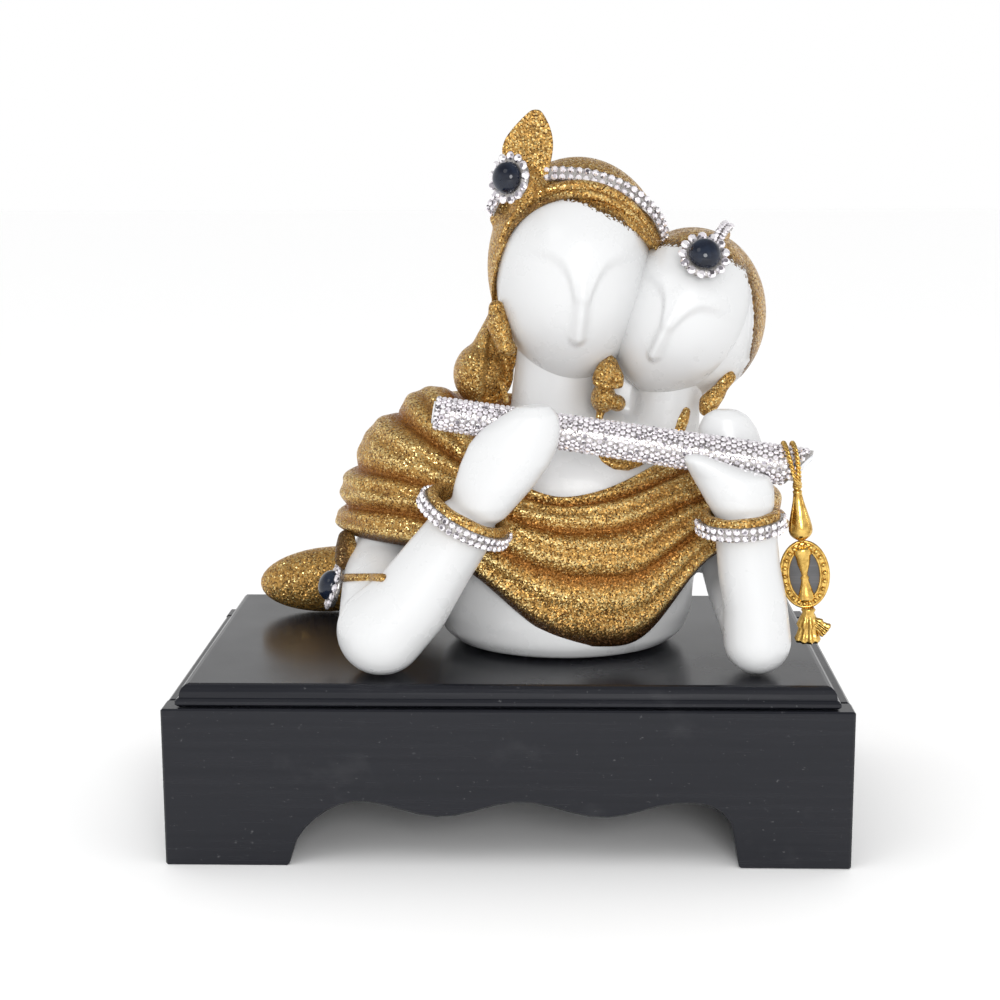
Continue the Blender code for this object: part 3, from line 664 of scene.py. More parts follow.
class Finish(ABC):
    """A surface finish that makes its own material once."""

    title: str

    def material(self) -> bpy.types.Material:
        """Makes the finish's material.

        Returns:
            The material, drawn at its first use.
        """
        found = bpy.data.materials.get(self.title)
        if found:
            return found
        material = bpy.data.materials.new(self.title)
        material.use_nodes = True
        sheet = NodeSheet(material.node_tree)
        self.draw(sheet, material.node_tree.nodes["Principled BSDF"])
        return material

    @abstractmethod
    def draw(self, sheet: NodeSheet, shader: bpy.types.Node) -> None:
        """Draws the finish.

        Args:
            sheet: The material's node sheet.
            shader: The material's Principled BSDF.
        """

    @staticmethod
    def mottled(sheet: NodeSheet, scale: float, stretch: Point = (1, 1, 1), low: float = 0.35,
                high: float = 0.65) -> Socket:
        """Adds the soft mottle group.

        Args:
            sheet: The material's node sheet.
            scale: How fine it is.
            stretch: How much finer it is along x, y and z.
            low: The noise that gives 0.
            high: The noise that gives 1.

        Returns:
            The mottling, from 0 to 1.
        """
        node = sheet.add("Group", node_tree=ShaderGroups.mottle())
        sheet.join(sheet.place(), node.inputs["Place"])
        node.inputs["Scale"].default_value = scale
        node.inputs["Stretch"].default_value = stretch
        node.inputs["Low"].default_value = low
        node.inputs["High"].default_value = high
        return node.outputs[0]

    @staticmethod
    def bumped(sheet: NodeSheet, height: Socket, depth: float,
               strength: float) -> Socket:
        """Raises the surface.

        Args:
            sheet: The material's node sheet.
            height: Where it is raised, from 0 to 1.
            depth: How far it is raised at most, in millimetres.
            strength: How much of that shows.

        Returns:
            The normal.
        """
        bump = sheet.add("Bump")
        bump.inputs["Strength"].default_value = strength
        bump.inputs["Distance"].default_value = depth * MM
        sheet.join(height, bump.inputs["Height"])
        return bump.outputs[0]


@dataclass(frozen=True)
class GoldGlitter(Finish):
    """Gold glitter paint: tipped flakes over ochre, painted shade in folds and under the hem, painted crest
    highlights.
    """

    title: str = "gold glitter"
    flakes: float = 2600.0
    tip: float = 1.05
    dark_fleck: Colour = (0.13, 0.06, 0.015)
    ochre: Colour = (0.52, 0.295, 0.078)
    bright: Colour = (0.98, 0.76, 0.33)
    valley: Colour = (0.27, 0.098, 0.013)
    under: Colour = (0.060, 0.026, 0.009)
    metallic: float = 0.72

    def colour(self, sheet: NodeSheet) -> tuple[Socket, Socket, Socket]:
        """Draws the flakes.

        Args:
            sheet: The material's node sheet.

        Returns:
            The colour, the roughness and the normal.
        """
        flakes = sheet.add("Group", node_tree=ShaderGroups.flakes())
        sheet.join(sheet.place(), flakes.inputs["Place"])
        flakes.inputs["Flakes a metre"].default_value = self.flakes
        flakes.inputs["Tip"].default_value = self.tip
        chance = flakes.outputs["Chance"]
        # Flakes by chance: dark brown flecks, ochre, and pale flakes that stand in for sparkle, painted
        # glints.
        sprinkle = sheet.ramp(
            chance, (0.0, self.dark_fleck), (0.13, self.dark_fleck), (0.20, self.ochre), (0.80, self.ochre),
            (0.90, self.bright), (1.0, self.bright),
        )
        patchy = self.mottled(sheet, 260.0, low=0.3, high=0.75)
        # Painted shade: towards the valley colour where the mesh's fold number is low, in the folds.
        deep = sheet.math("MULTIPLY", sheet.span(sheet.number("fold"), 0.05, 0.85, 1.0, 0.0), 0.92)
        shaded = sheet.mix(deep, sprinkle, self.valley)
        # Painted highlights: more pale flakes on the crests, where fold is highest.
        crest = sheet.span(sheet.number("fold"), 0.8, 1.1)
        lit = sheet.math("MULTIPLY", crest, sheet.span(chance, 0.55, 0.62))
        shaded = sheet.mix(sheet.math("MULTIPLY", lit, 0.75), shaded, self.bright)
        shaded = sheet.mix(sheet.math("MULTIPLY", patchy, 0.22), shaded, self.valley)
        # Painted shade under the hem: dark brown where the mesh's under number is high. The armlet strand's
        # dark end and the brim's brown edge by the hairline use the same colour as their own.
        under = sheet.math("MULTIPLY", sheet.number("under"), 0.93)
        rough = sheet.span(chance, 0.0, 1.0, 0.46, 0.24)
        return sheet.mix(under, shaded, self.under), rough, flakes.outputs["Normal"]

    def draw(self, sheet: NodeSheet, shader: bpy.types.Node) -> None:
        """Draws the glitter on the shader.

        Args:
            sheet: The material's node sheet.
            shader: The material's Principled BSDF.
        """
        colour, rough, normal = self.colour(sheet)
        sheet.join(colour, shader.inputs["Base Color"])
        sheet.join(rough, shader.inputs["Roughness"])
        sheet.join(normal, shader.inputs["Normal"])
        shader.inputs["Metallic"].default_value = self.metallic


@dataclass(frozen=True)
class WhiteResin(Finish):
    """Glossy white cast resin, faintly uneven, with gold paint where the mesh is marked."""

    title: str = "white resin"
    white: Colour = (0.650, 0.655, 0.660)
    dull: Colour = (0.62, 0.62, 0.61)
    foot_tint: Colour = (0.30, 0.22, 0.14)
    edge: float = 1.5
    foot_tint_height: float = 1.3
    coat: float = 0.15
    coat_roughness: float = 0.16

    def draw(self, sheet: NodeSheet, shader: bpy.types.Node) -> None:
        """Draws the resin and, over it, the gold paint with its frayed edge.

        Args:
            sheet: The material's node sheet.
            shader: The material's Principled BSDF.
        """
        glitter = GoldGlitter()
        gold, gold_rough, gold_normal = glitter.colour(sheet)
        grain = sheet.math("SUBTRACT", self.mottled(sheet, 1150.0, low=0.25, high=0.75), 0.5)
        frayed = sheet.math("MULTIPLY_ADD", grain, 1.6 * self.edge, sheet.number("gold"))
        paint = sheet.span(frayed, -0.12, 0.12)
        thin = sheet.math("MULTIPLY", sheet.span(frayed, 2.4, 0.2), 0.72)
        gold = sheet.mix(thin, gold, glitter.under)
        white = sheet.mix(sheet.math("MULTIPLY", self.mottled(sheet, 38.0), 0.10), self.white, self.dull)
        split = sheet.add("SeparateXYZ")
        sheet.join(sheet.place(), split.inputs[0])
        # Darker brown in patches towards the foot, in a low band over the plinth's top.
        clean = (FLOOR_OF_FIGURE + self.foot_tint_height) * MM
        foot = sheet.span(split.outputs["Z"], clean, (FLOOR_OF_FIGURE - 0.1) * MM)
        foot = sheet.math("MULTIPLY", foot, self.mottled(sheet, 260.0, low=0.2, high=0.7))
        white = sheet.mix(sheet.math("MULTIPLY", foot, 0.75), white, self.foot_tint)
        sheet.join(sheet.mix(paint, white, gold), shader.inputs["Base Color"])
        plain = sheet.span(self.mottled(sheet, 90.0), 0.0, 1.0, 0.26, 0.34)
        rough = sheet.math("MULTIPLY_ADD", paint, sheet.math("SUBTRACT", gold_rough, plain), plain)
        sheet.join(rough, shader.inputs["Roughness"])
        sheet.join(sheet.math("MULTIPLY", paint, glitter.metallic), shader.inputs["Metallic"])
        uneven = self.bumped(sheet, self.mottled(sheet, 300.0, low=0.2, high=0.8), 0.10, 0.12)
        normals = sheet.add("Mix", data_type="VECTOR")
        sheet.join(paint, normals.inputs["Factor"])
        sheet.join(uneven, normals.inputs[4])
        sheet.join(gold_normal, normals.inputs[5])
        sheet.join(normals.outputs[1], shader.inputs["Normal"])
        shader.inputs["Coat Weight"].default_value = self.coat
        shader.inputs["Coat Roughness"].default_value = self.coat_roughness


@dataclass(frozen=True)
class CutStones(Finish):
    """Clear cut stones on foil, each face painted light or dark by chance as painted glints and reflections,
    some lilac.
    """

    title: str = "cut stones"

    def draw(self, sheet: NodeSheet, shader: bpy.types.Node) -> None:
        """Draws the faces' colours on the shader.

        Args:
            sheet: The material's node sheet.
            shader: The material's Principled BSDF.
        """
        glint = sheet.number("glint")
        # Painted glints and reflections: each face's colour, dark grey to lilac white, from its glint number.
        colour = sheet.ramp(
            glint, (0.0, (0.09, 0.08, 0.09)), (0.10, (0.30, 0.28, 0.31)), (0.22, (0.85, 0.81, 0.85)),
            (0.60, (0.97, 0.95, 0.97)), (1.0, (1.0, 0.93, 1.0)),
        )
        sheet.join(colour, shader.inputs["Base Color"])
        sheet.join(sheet.span(glint, 0.0, 1.0, 0.28, 0.08), shader.inputs["Roughness"])
        shader.inputs["Metallic"].default_value = 0.55


@dataclass(frozen=True)
class SilverCups(Finish):
    """Tarnished silver between the stones."""

    title: str = "silver cups"
    light: Colour = (0.60, 0.58, 0.56)
    dark: Colour = (0.20, 0.18, 0.17)

    def draw(self, sheet: NodeSheet, shader: bpy.types.Node) -> None:
        """Draws the tarnish on the shader.

        Args:
            sheet: The material's node sheet.
            shader: The material's Principled BSDF.
        """
        worn = self.mottled(sheet, 1500.0)
        sheet.join(sheet.mix(worn, self.dark, self.light), shader.inputs["Base Color"])
        sheet.join(sheet.span(worn, 0.0, 1.0, 0.45, 0.22), shader.inputs["Roughness"])
        shader.inputs["Metallic"].default_value = 0.9


@dataclass(frozen=True)
class DarkCabochon(Finish):
    """Blue-black polished stone with a faint cloud in it."""

    title: str = "dark cabochon"
    deep: Colour = (0.004, 0.006, 0.014)
    cloud: Colour = (0.016, 0.024, 0.044)

    def draw(self, sheet: NodeSheet, shader: bpy.types.Node) -> None:
        """Draws the cloud on the shader.

        Args:
            sheet: The material's node sheet.
            shader: The material's Principled BSDF.
        """
        cloud = self.mottled(sheet, 190.0, low=0.4, high=0.75)
        sheet.join(sheet.mix(cloud, self.deep, self.cloud), shader.inputs["Base Color"])
        sheet.join(sheet.span(cloud, 0.0, 1.0, 0.05, 0.12), shader.inputs["Roughness"])
        shader.inputs["Specular IOR Level"].default_value = 0.42


@dataclass(frozen=True)
class PlatedGold(Finish):
    """Bright gold plating, deeper in random patches."""

    title: str = "plated gold"
    bright: Colour = (0.80, 0.53, 0.15)
    deep: Colour = (0.34, 0.17, 0.03)

    def draw(self, sheet: NodeSheet, shader: bpy.types.Node) -> None:
        """Draws the plating on the shader.

        Args:
            sheet: The material's node sheet.
            shader: The material's Principled BSDF.
        """
        worn = self.mottled(sheet, 520.0, low=0.42, high=0.72)
        sheet.join(sheet.mix(worn, self.bright, self.deep), shader.inputs["Base Color"])
        sheet.join(sheet.span(worn, 0.0, 1.0, 0.14, 0.34), shader.inputs["Roughness"])
        shader.inputs["Metallic"].default_value = 1.0


@dataclass(frozen=True)
class PlainTube(Finish):
    """White plastic tube, slightly milky."""

    title: str = "white tube"
    clear: Colour = (0.86, 0.87, 0.89)
    milky: Colour = (0.76, 0.77, 0.80)

    def draw(self, sheet: NodeSheet, shader: bpy.types.Node) -> None:
        """Draws the plastic on the shader.

        Args:
            sheet: The material's node sheet.
            shader: The material's Principled BSDF.
        """
        cloud = self.mottled(sheet, 220.0)
        sheet.join(sheet.mix(cloud, self.clear, self.milky), shader.inputs["Base Color"])
        sheet.join(sheet.span(cloud, 0.0, 1.0, 0.28, 0.4), shader.inputs["Roughness"])


@dataclass(frozen=True)
class PaintedBoard(Finish):
    """Dark grey semi-gloss paint with level brush streaks, dust and small scuffs."""

    title: str = "painted board"
    paint: Colour = (0.0105, 0.0112, 0.0150)
    streak: Colour = (0.0140, 0.0147, 0.0190)
    scuff: Colour = (0.16, 0.16, 0.165)

    def draw(self, sheet: NodeSheet, shader: bpy.types.Node) -> None:
        """Draws the paint on the shader.

        Args:
            sheet: The material's node sheet.
            shader: The material's Principled BSDF.
        """
        streaks = self.mottled(sheet, 60.0, (0.35, 0.35, 9.0), 0.3, 0.75)
        base = sheet.mix(streaks, self.paint, self.streak)
        patches = self.mottled(sheet, 34.0, (1, 1, 1.4), 0.60, 0.80)
        specks = self.mottled(sheet, 900.0, (0.7, 0.7, 1.0), 0.67, 0.73)
        patches, specks = sheet.math("MULTIPLY", patches, 0.10), sheet.math("MULTIPLY", specks, 0.45)
        scuffed = sheet.math("MAXIMUM", patches, specks)
        sheet.join(sheet.mix(scuffed, base, self.scuff), shader.inputs["Base Color"])
        sheet.join(sheet.span(streaks, 0.0, 1.0, 0.20, 0.30), shader.inputs["Roughness"])
        shader.inputs["Specular IOR Level"].default_value = 0.25
        sheet.join(self.bumped(sheet, streaks, 0.05, 0.15), shader.inputs["Normal"])


@dataclass(frozen=True)
class StudioFloor(Finish):
    """Plain pale floor under the statue."""

    title: str = "studio floor"

    def draw(self, sheet: NodeSheet, shader: bpy.types.Node) -> None:
        """Draws the floor on the shader."""
        shader.inputs["Base Color"].default_value = (0.97, 0.97, 0.97, 1)
        shader.inputs["Roughness"].default_value = 0.85


@dataclass
class SubAssembly(ABC):
    """A group of pieces that is built together and rides on the statue."""

    @abstractmethod
    def build(self) -> None:
        """Builds and dresses the pieces."""

    @staticmethod
    def dress(piece: Form, name: str, finish: Finish, slot: Slot, stands_for: Sequence[str] = (),
              smooth: bool = True) -> Form:
        """Names a piece, gives it its finish and sets it on the statue.

        Args:
            piece: The piece, with its place in its mesh.
            name: Its name.
            finish: Its finish.
            slot: The record's slot that it takes its finish from; not used.
            stands_for: The nodes that it is shown in place of.
            smooth: Whether its faces are shaded as one curved surface.

        Returns:
            The piece.
        """
        piece.name = name
        piece.data.name = name
        piece.data.materials.clear()
        piece.data.materials.append(finish.material())
        if isinstance(finish, (GoldGlitter, WhiteResin)):
            # Unmarked pieces: fold 0.8, near a crest, so little painted fold shade, and no painted shade
            # under.
            for number, value in (("fold", 0.8), ("under", 0.0)):
                if number not in piece.data.attributes:
                    note(piece, number, value)
        take(piece)
        if smooth:
            bpy.ops.object.shade_smooth()
        else:
            bpy.ops.object.shade_flat()
        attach(piece, "root")
        if stands_for:
            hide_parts(*stands_for)
        LOG.info("%s: %d faces", name, len(piece.data.polygons))
        return piece


@dataclass
class Hairline:
    """The line where a face meets the hair, as the camera sees it on a plane before the head."""

    points: Sequence[tuple[float, float]]
    plane: float = -15.0

    def outside(self, points: np.ndarray) -> np.ndarray:
        """Measures how far points lie outside the line.

        Args:
            points: Rows of x, y and z in metres.

        Returns:
            Millimetres to the line, more than 0 on the hair's side.
        """
        eye = np.array(EYE)
        ray = points / MM - (0, 0, FLOOR_OF_FIGURE) - eye
        flat = (eye + ray * ((self.plane - eye[1]) / ray[:, 1])[:, None])[:, (0, 2)]
        line = np.array(self.points)
        start, step = line[:-1], np.diff(line, axis=0)
        offset = flat[:, None] - start
        share = np.clip((offset * step).sum(2) / (step**2).sum(1), 0, 1)
        gap = offset - share[..., None] * step
        distance = np.hypot(gap[..., 0], gap[..., 1])
        nearest = distance.argmin(1)
        rows = np.arange(len(flat))
        way, gone = step[nearest], offset[rows, nearest]
        return distance[rows, nearest] * np.sign(way[:, 0] * gone[:, 1] - way[:, 1] * gone[:, 0])

    def clear(self, hair: Form, depth: float = 7.0) -> None:
        """Sinks hair behind the face where it would cover it.

        Args:
            hair: The hair.
            depth: How far it is sunk, in millimetres.
        """
        points = points_of(hair)
        covered = smooth_step(0.35, -1.1, self.outside(points)) * smooth_step(2.0, -4.0, points[:, 1] / MM)
        points[:, 1] += covered * depth * MM
        put_points(hair, points)


NO_GOLD = -5.0
LARGER_CAP: tuple[Point, Point] = ((20.0, 2.0, 112.8), (26.8, 27.0, 32.2))
SMALLER_CAP: tuple[Point, Point] = ((54.3, 4.0, 98.6), (22.2, 23.0, 25.6))
CROWN_WAY: Sequence[Point] = (
    (-4.9, -2.4, 129.2), (-2.2, -7.0, 134.2), (3.6, -10.8, 138.2), (10.4, -12.8, 139.8),
    (16.4, -13.6, 139.9), (23.2, -13.6, 139.2), (28.8, -13.0, 137.6), (34.4, -12.0, 135.0),
    (39.6, -10.2, 131.0), (42.6, -8.2, 127.4), (44.2, -6.0, 123.4), (44.6, -4.6, 121.0),
)

LARGER_HAIRLINE = Hairline((
    (-5.0, 104.0), (-4.4, 109.6), (-3.2, 114.5), (-1.4, 119.4), (0.6, 123.6), (3.3, 127.2), (6.7, 130.9),
    (10.4, 132.4), (14.7, 133.0), (19.6, 132.4), (28.1, 128.5), (36.8, 123.5), (41.0, 119.5),
))
SMALLER_HAIRLINE = Hairline((
    (40.0, 119.4), (44.2, 119.6), (49.1, 119.6), (56.0, 118.4), (62.6, 116.1), (68.1, 112.5), (70.2, 106.3),
    (71.0, 100.0), (70.8, 94.0), (70.0, 86.5), (65.8, 79.0),
))


@dataclass
class Head(SubAssembly):
    """An egg of a head with a plain brow and a straight nose, and its hairline in gold paint."""

    name: str
    centre: Point
    radii: Point
    tilt: float
    turn: float
    hairline: Hairline
    gold_above: float
    chin_narrowing: float = 0.12
    brow_rise: float = 1.9
    brow_height: float = 0.236
    brow_drop: float = 0.433
    brow_sweep: float = 0.092
    brow_softness: float = 0.075
    brow_fade: tuple[float, float] = (0.32, 0.62)
    nose_rise: float = 2.8
    nose_half_width: float = 0.066
    nose_end: float = -0.57
    nose_fade: tuple[float, float] = (-0.35, 0.25)
    forehead_fade: tuple[float, float] = (0.35, 0.85)
    face_fade: tuple[float, float] = (0.05, 0.55)
    sides: int = 300

    def relief(self, local: np.ndarray) -> np.ndarray:
        """Raises the brow and the nose from an egg.

        Args:
            local: Rows of the egg's own x, y and z, in millimetres.

        Returns:
            How far each point stands proud, in millimetres.
        """
        across = np.abs(local[:, 0]) / self.radii[2]
        height = local[:, 2] / self.radii[2]
        beside = np.maximum(across - self.nose_half_width, 0)
        edge = self.brow_height - self.brow_drop * np.exp(-beside / self.brow_sweep)
        brow = smooth_step(-self.brow_softness, self.brow_softness, height - edge)
        brow *= 1 - smooth_step(*self.brow_fade, across) * 0.8
        brow *= 1 - smooth_step(*self.forehead_fade, height)
        end = smooth_step(self.nose_end - 0.045, self.nose_end + 0.035, height - 6.0 * across**2)
        ridge = np.exp(-((across / self.nose_half_width) ** 2.3))
        nose = ridge * end * (1 - smooth_step(*self.nose_fade, height))
        front = smooth_step(*self.face_fade, -local[:, 1] / self.radii[1])
        proud = np.stack([self.brow_rise * brow, self.nose_rise * nose])
        return front * np.sqrt((proud**2).sum(0) + 0.35 * proud[0] * proud[1])

    def build(self) -> None:
        """Builds the head from a fine ball."""
        let_go()
        bpy.ops.mesh.primitive_uv_sphere_add(segments=self.sides, ring_count=self.sides // 2, radius=1)
        head = bpy.context.object
        unit = points_of(head)
        local = unit * self.radii
        low = np.maximum(0.0, -unit[:, 2])
        local[:, 0] *= 1 - self.chin_narrowing * low * low
        local[:, 1] -= self.relief(local)
        lean = Quaternion((0, 1, 0), math.radians(self.tilt))
        lean = lean @ Quaternion((0, 0, 1), math.radians(self.turn))
        points = local @ np.array(lean.to_matrix()).T * MM + np.array(on_figure(*self.centre))
        put_points(head, points)
        outside = self.hairline.outside(points)
        height = points[:, 2] / MM - FLOOR_OF_FIGURE
        note(head, "gold", np.where(height > self.gold_above, outside, NO_GOLD))
        self.dress(head, self.name, WhiteResin(), Slot.RESIN, ("figure",))


@dataclass
class Torso(SubAssembly):
    """The bowl of the shoulders with its two necks, and the arms."""

    levels: Sequence[Level] = (
        (0.0, 15.5, -2, 28.0, 25.0), (0.9, 15.8, -2, 32.5, 28.5), (4.0, 16, -2, 36.5, 30.6),
        (10.0, 16.5, -1.5, 38.5, 31.2), (20.0, 17, -0.5, 39.0, 31.2), (32.0, 17, 0, 38.0, 29.5),
        (44.0, 17, 0, 36.0, 27.0), (54.0, 17, 0, 30.0, 22.0), (60.0, 17, 0, 18.0, 14.0),
    )
    larger_neck: Sequence[Level] = (
        (46, 12, 1, 14, 13), (60, 12.5, 0, 13, 12), (75, 13, 0, 12.6, 12), (92, 15, 0, 12.5, 12),
    )
    smaller_neck: Sequence[Level] = (
        (46, 45, 1, 13, 12), (58, 46, 0, 11, 11), (70, 46.5, 0, 10.4, 10.5), (86, 49, 0, 10.5, 10),
    )
    chest: tuple[Point, Point] = ((16, 0, 42), (50, 26, 30))
    between_necks: tuple[Point, Point] = ((33, 5, 70), (15, 9, 20))
    right_armpit: Sequence[Section] = ((46, -2, 29, 8.0), (57, -2, 28.2, 7.0), (67, -6, 26.0, 8.0))
    left_upper_arm: Sequence[Section] = (
        (-31, 4, 36, 12.5), (-37.5, -12, 21, 12.6), (-36.5, -34, 13.4, 12.6),
    )
    left_forearm: Sequence[Section] = (
        (-35.8, -44.2, 12.8, 12.8), (-27.8, -44.0, 20.6, 11.6), (-20.2, -43.6, 31.6, 10.3),
        (-12.6, -43.4, 42.0, 9.2),
    )
    left_hand: Sequence[Level] = (
        (43.6, -7.6, -44.4, 4.2, 3.6), (45.5, -7.8, -44.4, 7.4, 6.6), (49, -6.6, -44.4, 9.3, 8.0),
        (55, -3.4, -44.4, 11.4, 8.4), (61, -0.4, -44.4, 12.6, 8.0), (66.5, 2.0, -44.4, 12.5, 7.4),
        (70.5, 4.0, -44.4, 11.0, 6.8), (74.5, 6.6, -44.4, 7.8, 5.8), (77.2, 7.7, -44.4, 4.4, 3.8),
    )
    right_upper_arm: Sequence[Section] = ((66, 0, 36, 11.5), (69, -14, 20, 10.5), (71.2, -34, 10.4, 9.3))
    right_forearm: Sequence[Section] = (
        (71.0, -42.0, 9.6, 9.6), (70.2, -42.0, 20, 9.0), (68.3, -42.0, 30, 8.8), (67.0, -42.0, 43, 8.7),
    )
    right_thumb: Sequence[Level] = (
        (43.6, 66.2, -42, 5.0, 4.5), (45.6, 66.0, -42, 7.8, 7.4), (49, 65.6, -41.5, 9.4, 8.8),
        (53.5, 64.2, -41.5, 10.6, 8.6), (57, 62.6, -42, 11.0, 7.6), (59.6, 57.4, -43.5, 7.2, 5.6),
        (62.2, 53.4, -44.5, 4.4, 4.4), (63.6, 52.0, -44.8, 2.2, 2.4),
    )
    right_palm: Sequence[Level] = (
        (47.0, 66.0, -37, 7.0, 6.0), (51, 66.0, -35, 8.8, 7.4), (57, 65.4, -30.5, 9.4, 6.4),
        (63, 64.0, -28.0, 9.2, 5.6), (68.5, 62.8, -27.0, 8.4, 5.2), (72, 62.3, -27.0, 6.3, 4.4),
        (73.8, 62.2, -27.0, 3.2, 2.4),
    )
    grain: float = 0.55

    def build(self) -> None:
        """Builds the torso and each arm as a casting of its own, met under the shawl."""
        torso = fuse([
            stack(self.levels, 96), ball(*self.chest), stack(self.larger_neck),
            stack(self.smaller_neck), ball(*self.between_necks), limb(self.right_armpit),
        ], "torso", 0.8, 12)
        left = fuse([
            limb(self.left_upper_arm), limb(self.left_forearm), stack(self.left_hand),
        ], "left_arm", self.grain, 14)
        right = fuse([
            limb(self.right_upper_arm), limb(self.right_forearm), stack(self.right_thumb),
            stack(self.right_palm),
        ], "right_arm", self.grain, 12)
        for piece in (torso, left, right):
            note(piece, "gold", NO_GOLD)
            self.dress(piece, piece.name, WhiteResin(), Slot.RESIN, ("figure",))


@dataclass
class Shawl(SubAssembly):
    """The gold shawl: four rolls of cloth round both bodies, hung lowest in front, and its tail."""

    middle_x: float = 16.0
    neck: tuple[float, float] = (33.0, 27.0)
    hem: tuple[float, float] = (66.0, 32.0)
    bulge: float = 2.5
    hem_low: float = 4.8
    hem_lift: float = 28.3
    hem_low_at: float = 0.20
    hem_spread: tuple[float, float] = (0.54, 0.345)
    hem_roundness: float = 2.8
    neckline_front: float = 46.8
    neckline_rise: tuple[float, float] = (28.0, 13.0)
    neckline_back: tuple[float, float] = (68.0, 5.0)
    turn_in: float = 4.0
    crease: float = 0.30
    wave: float = 0.22
    pleat: float = 0.62
    valleys: dict[str, tuple[float, float, float]] = field(default_factory=lambda: {
        "left": (0.34, 0.69, 0.88), "front": (0.14, 0.40, 0.67), "right": (0.27, 0.62, 0.85),
        "back": (0.20, 0.46, 0.72),
    })
    depths: dict[str, float] = field(default_factory=lambda: {
        "left": 3.4, "front": 2.1, "right": 2.6, "back": 1.8,
    })
    tail_end: tuple[Point, Point, float] = ((-58.0, 30.0, 10.6), (24.0, 9.5, 10.6), -4)
    tail_way: Sequence[Section] = ((-52, 28, 11, 9.0), (-34, 22, 16, 10.0), (-14, 14, 24, 12.0))
    sides: int = 540
    steps: int = 22

    def around(self, values: dict[str, float], t: np.ndarray) -> np.ndarray:
        """Blends the values of the four sides.

        Args:
            values: The value of each side.
            t: Angles round the bodies, which start at the right.

        Returns:
            The value at each angle.
        """
        c, s = np.cos(t), np.sin(t)
        side = np.where(c > 0, values["right"], values["left"])
        ends = np.where(s > 0, values["back"], values["front"])
        return side * c * c + ends * s * s

    def base(self, t: np.ndarray, v: np.ndarray) -> np.ndarray:
        """Places points of the cloth without its folds.

        Args:
            t: Angles round the bodies, which start at the right.
            v: Shares of the way from the neckline, 0, to the hem, 1.

        Returns:
            Rows of x, y and height, in millimetres.
        """
        c, s = np.cos(t), np.sin(t)
        offset = c - self.hem_low_at
        spread = np.where(offset < 0, *self.hem_spread)
        lift = 1 - np.exp(-(np.abs(offset / spread) ** self.hem_roundness))
        hem = self.hem_low + self.hem_lift * np.maximum(lift, 0.35 * smooth_step(0.0, 0.8, s))
        left, right = self.neckline_rise
        front = self.neckline_front + np.where(c < 0, left * c * c, right * np.abs(c) ** 1.8)
        behind = smooth_step(-0.1, 0.7, s)
        neck = front * (1 - behind) + (self.neckline_back[0] - self.neckline_back[1] * c) * behind
        q = v * math.pi / 2
        width = self.neck[0] + (self.hem[0] - self.neck[0]) * np.sin(q)
        depth = self.neck[1] + (self.hem[1] - self.neck[1]) * np.sin(q) + self.bulge * np.sin(2 * q)
        return np.stack([self.middle_x + width * c, depth * s, hem + (neck - hem) * np.cos(q)], -1)

    def lifted(self, t: np.ndarray, v: np.ndarray, rise: np.ndarray) -> np.ndarray:
        """Places points that stand proud of the plain cloth.

        Args:
            t: Angles round the bodies.
            v: Shares of the way from the neckline to the hem.
            rise: How far each stands proud, in millimetres.

        Returns:
            Rows of x, y and height, in millimetres.
        """
        step = 1e-3
        inner = np.minimum(v, 1 - step)
        here = self.base(t, inner)
        down = self.base(t, inner + step) - here
        along = self.base(t + step, inner) - here
        normal = np.cross(down, along)
        normal /= np.linalg.norm(normal, axis=-1, keepdims=True)
        return self.base(t, v) + normal * rise[..., None]

    def build(self) -> None:
        """Builds the cloth, ring by ring from the neckline down, and its tail."""
        t = math.tau * np.arange(self.sides) / self.sides
        valleys = [self.around({side: self.valleys[side][k] for side in self.valleys}, t) for k in range(3)]
        marks = [np.zeros_like(t), *valleys, np.ones_like(t)]
        depth = self.around(self.depths, t)
        rings, folds, unders = [], [], []
        for roll, (low, high) in enumerate(zip(marks, marks[1:])):
            for step in range(self.steps + (roll == 3)):
                share = step / self.steps
                v = low + (high - low) * share
                crest = math.sin(math.pi * share) ** 0.75
                ripple = self.ripple(t, v, share, roll)
                rings.append(self.lifted(t, v, depth * crest + ripple))
                # fold is high on each roll's crest and low in its folds and creases: the glitter paints shade
                # and highlights from it.
                folds.append(np.full_like(t, crest) + 0.55 * ripple)
                # Painted shade under the hem: the underside of the last roll, in front and at the sides.
                shade = smooth_step(0.58, 0.92, share) * (roll == 3)
                unders.append(shade * smooth_step(0.75, -0.1, np.sin(t)))
        first, last = self.base(t, np.zeros_like(t)), self.base(t, np.ones_like(t))
        inward = np.array([self.middle_x, 0, 0]) - first
        inward[:, 2] = 0
        inward /= np.linalg.norm(inward, axis=1, keepdims=True)
        collar, lining = inward * self.turn_in - (0, 0, 5.0), inward * 5.0 + (0, 0, 1.6)
        rings = [first + collar, *rings, last + lining]
        folds = [np.zeros_like(t), *folds, np.zeros_like(t)]
        # The lining gets full painted shade.
        unders = [np.zeros_like(t), *unders, np.ones_like(t)]
        points = [on_figure(*point) for ring in rings for point in ring]
        faces = []
        for row in range(len(rings) - 1):
            for i in range(self.sides):
                j = (i + 1) % self.sides
                faces.append((row * self.sides + i, (row + 1) * self.sides + i,
                              (row + 1) * self.sides + j, row * self.sides + j))
        points += [on_figure(self.middle_x, 0, 50.0), on_figure(self.middle_x, 0, 22.0)]
        top, bottom, end = len(points) - 2, len(points) - 1, (len(rings) - 1) * self.sides
        for i in range(self.sides):
            j = (i + 1) % self.sides
            faces += [(i, j, top), (end + j, end + i, bottom)]
        cloth = made("shawl", points, faces)
        # Marks that the glitter paints fold shade and crest highlights from.
        note(cloth, "fold", np.clip(np.append(np.concatenate(folds), (0, 0)), 0, 1.2))
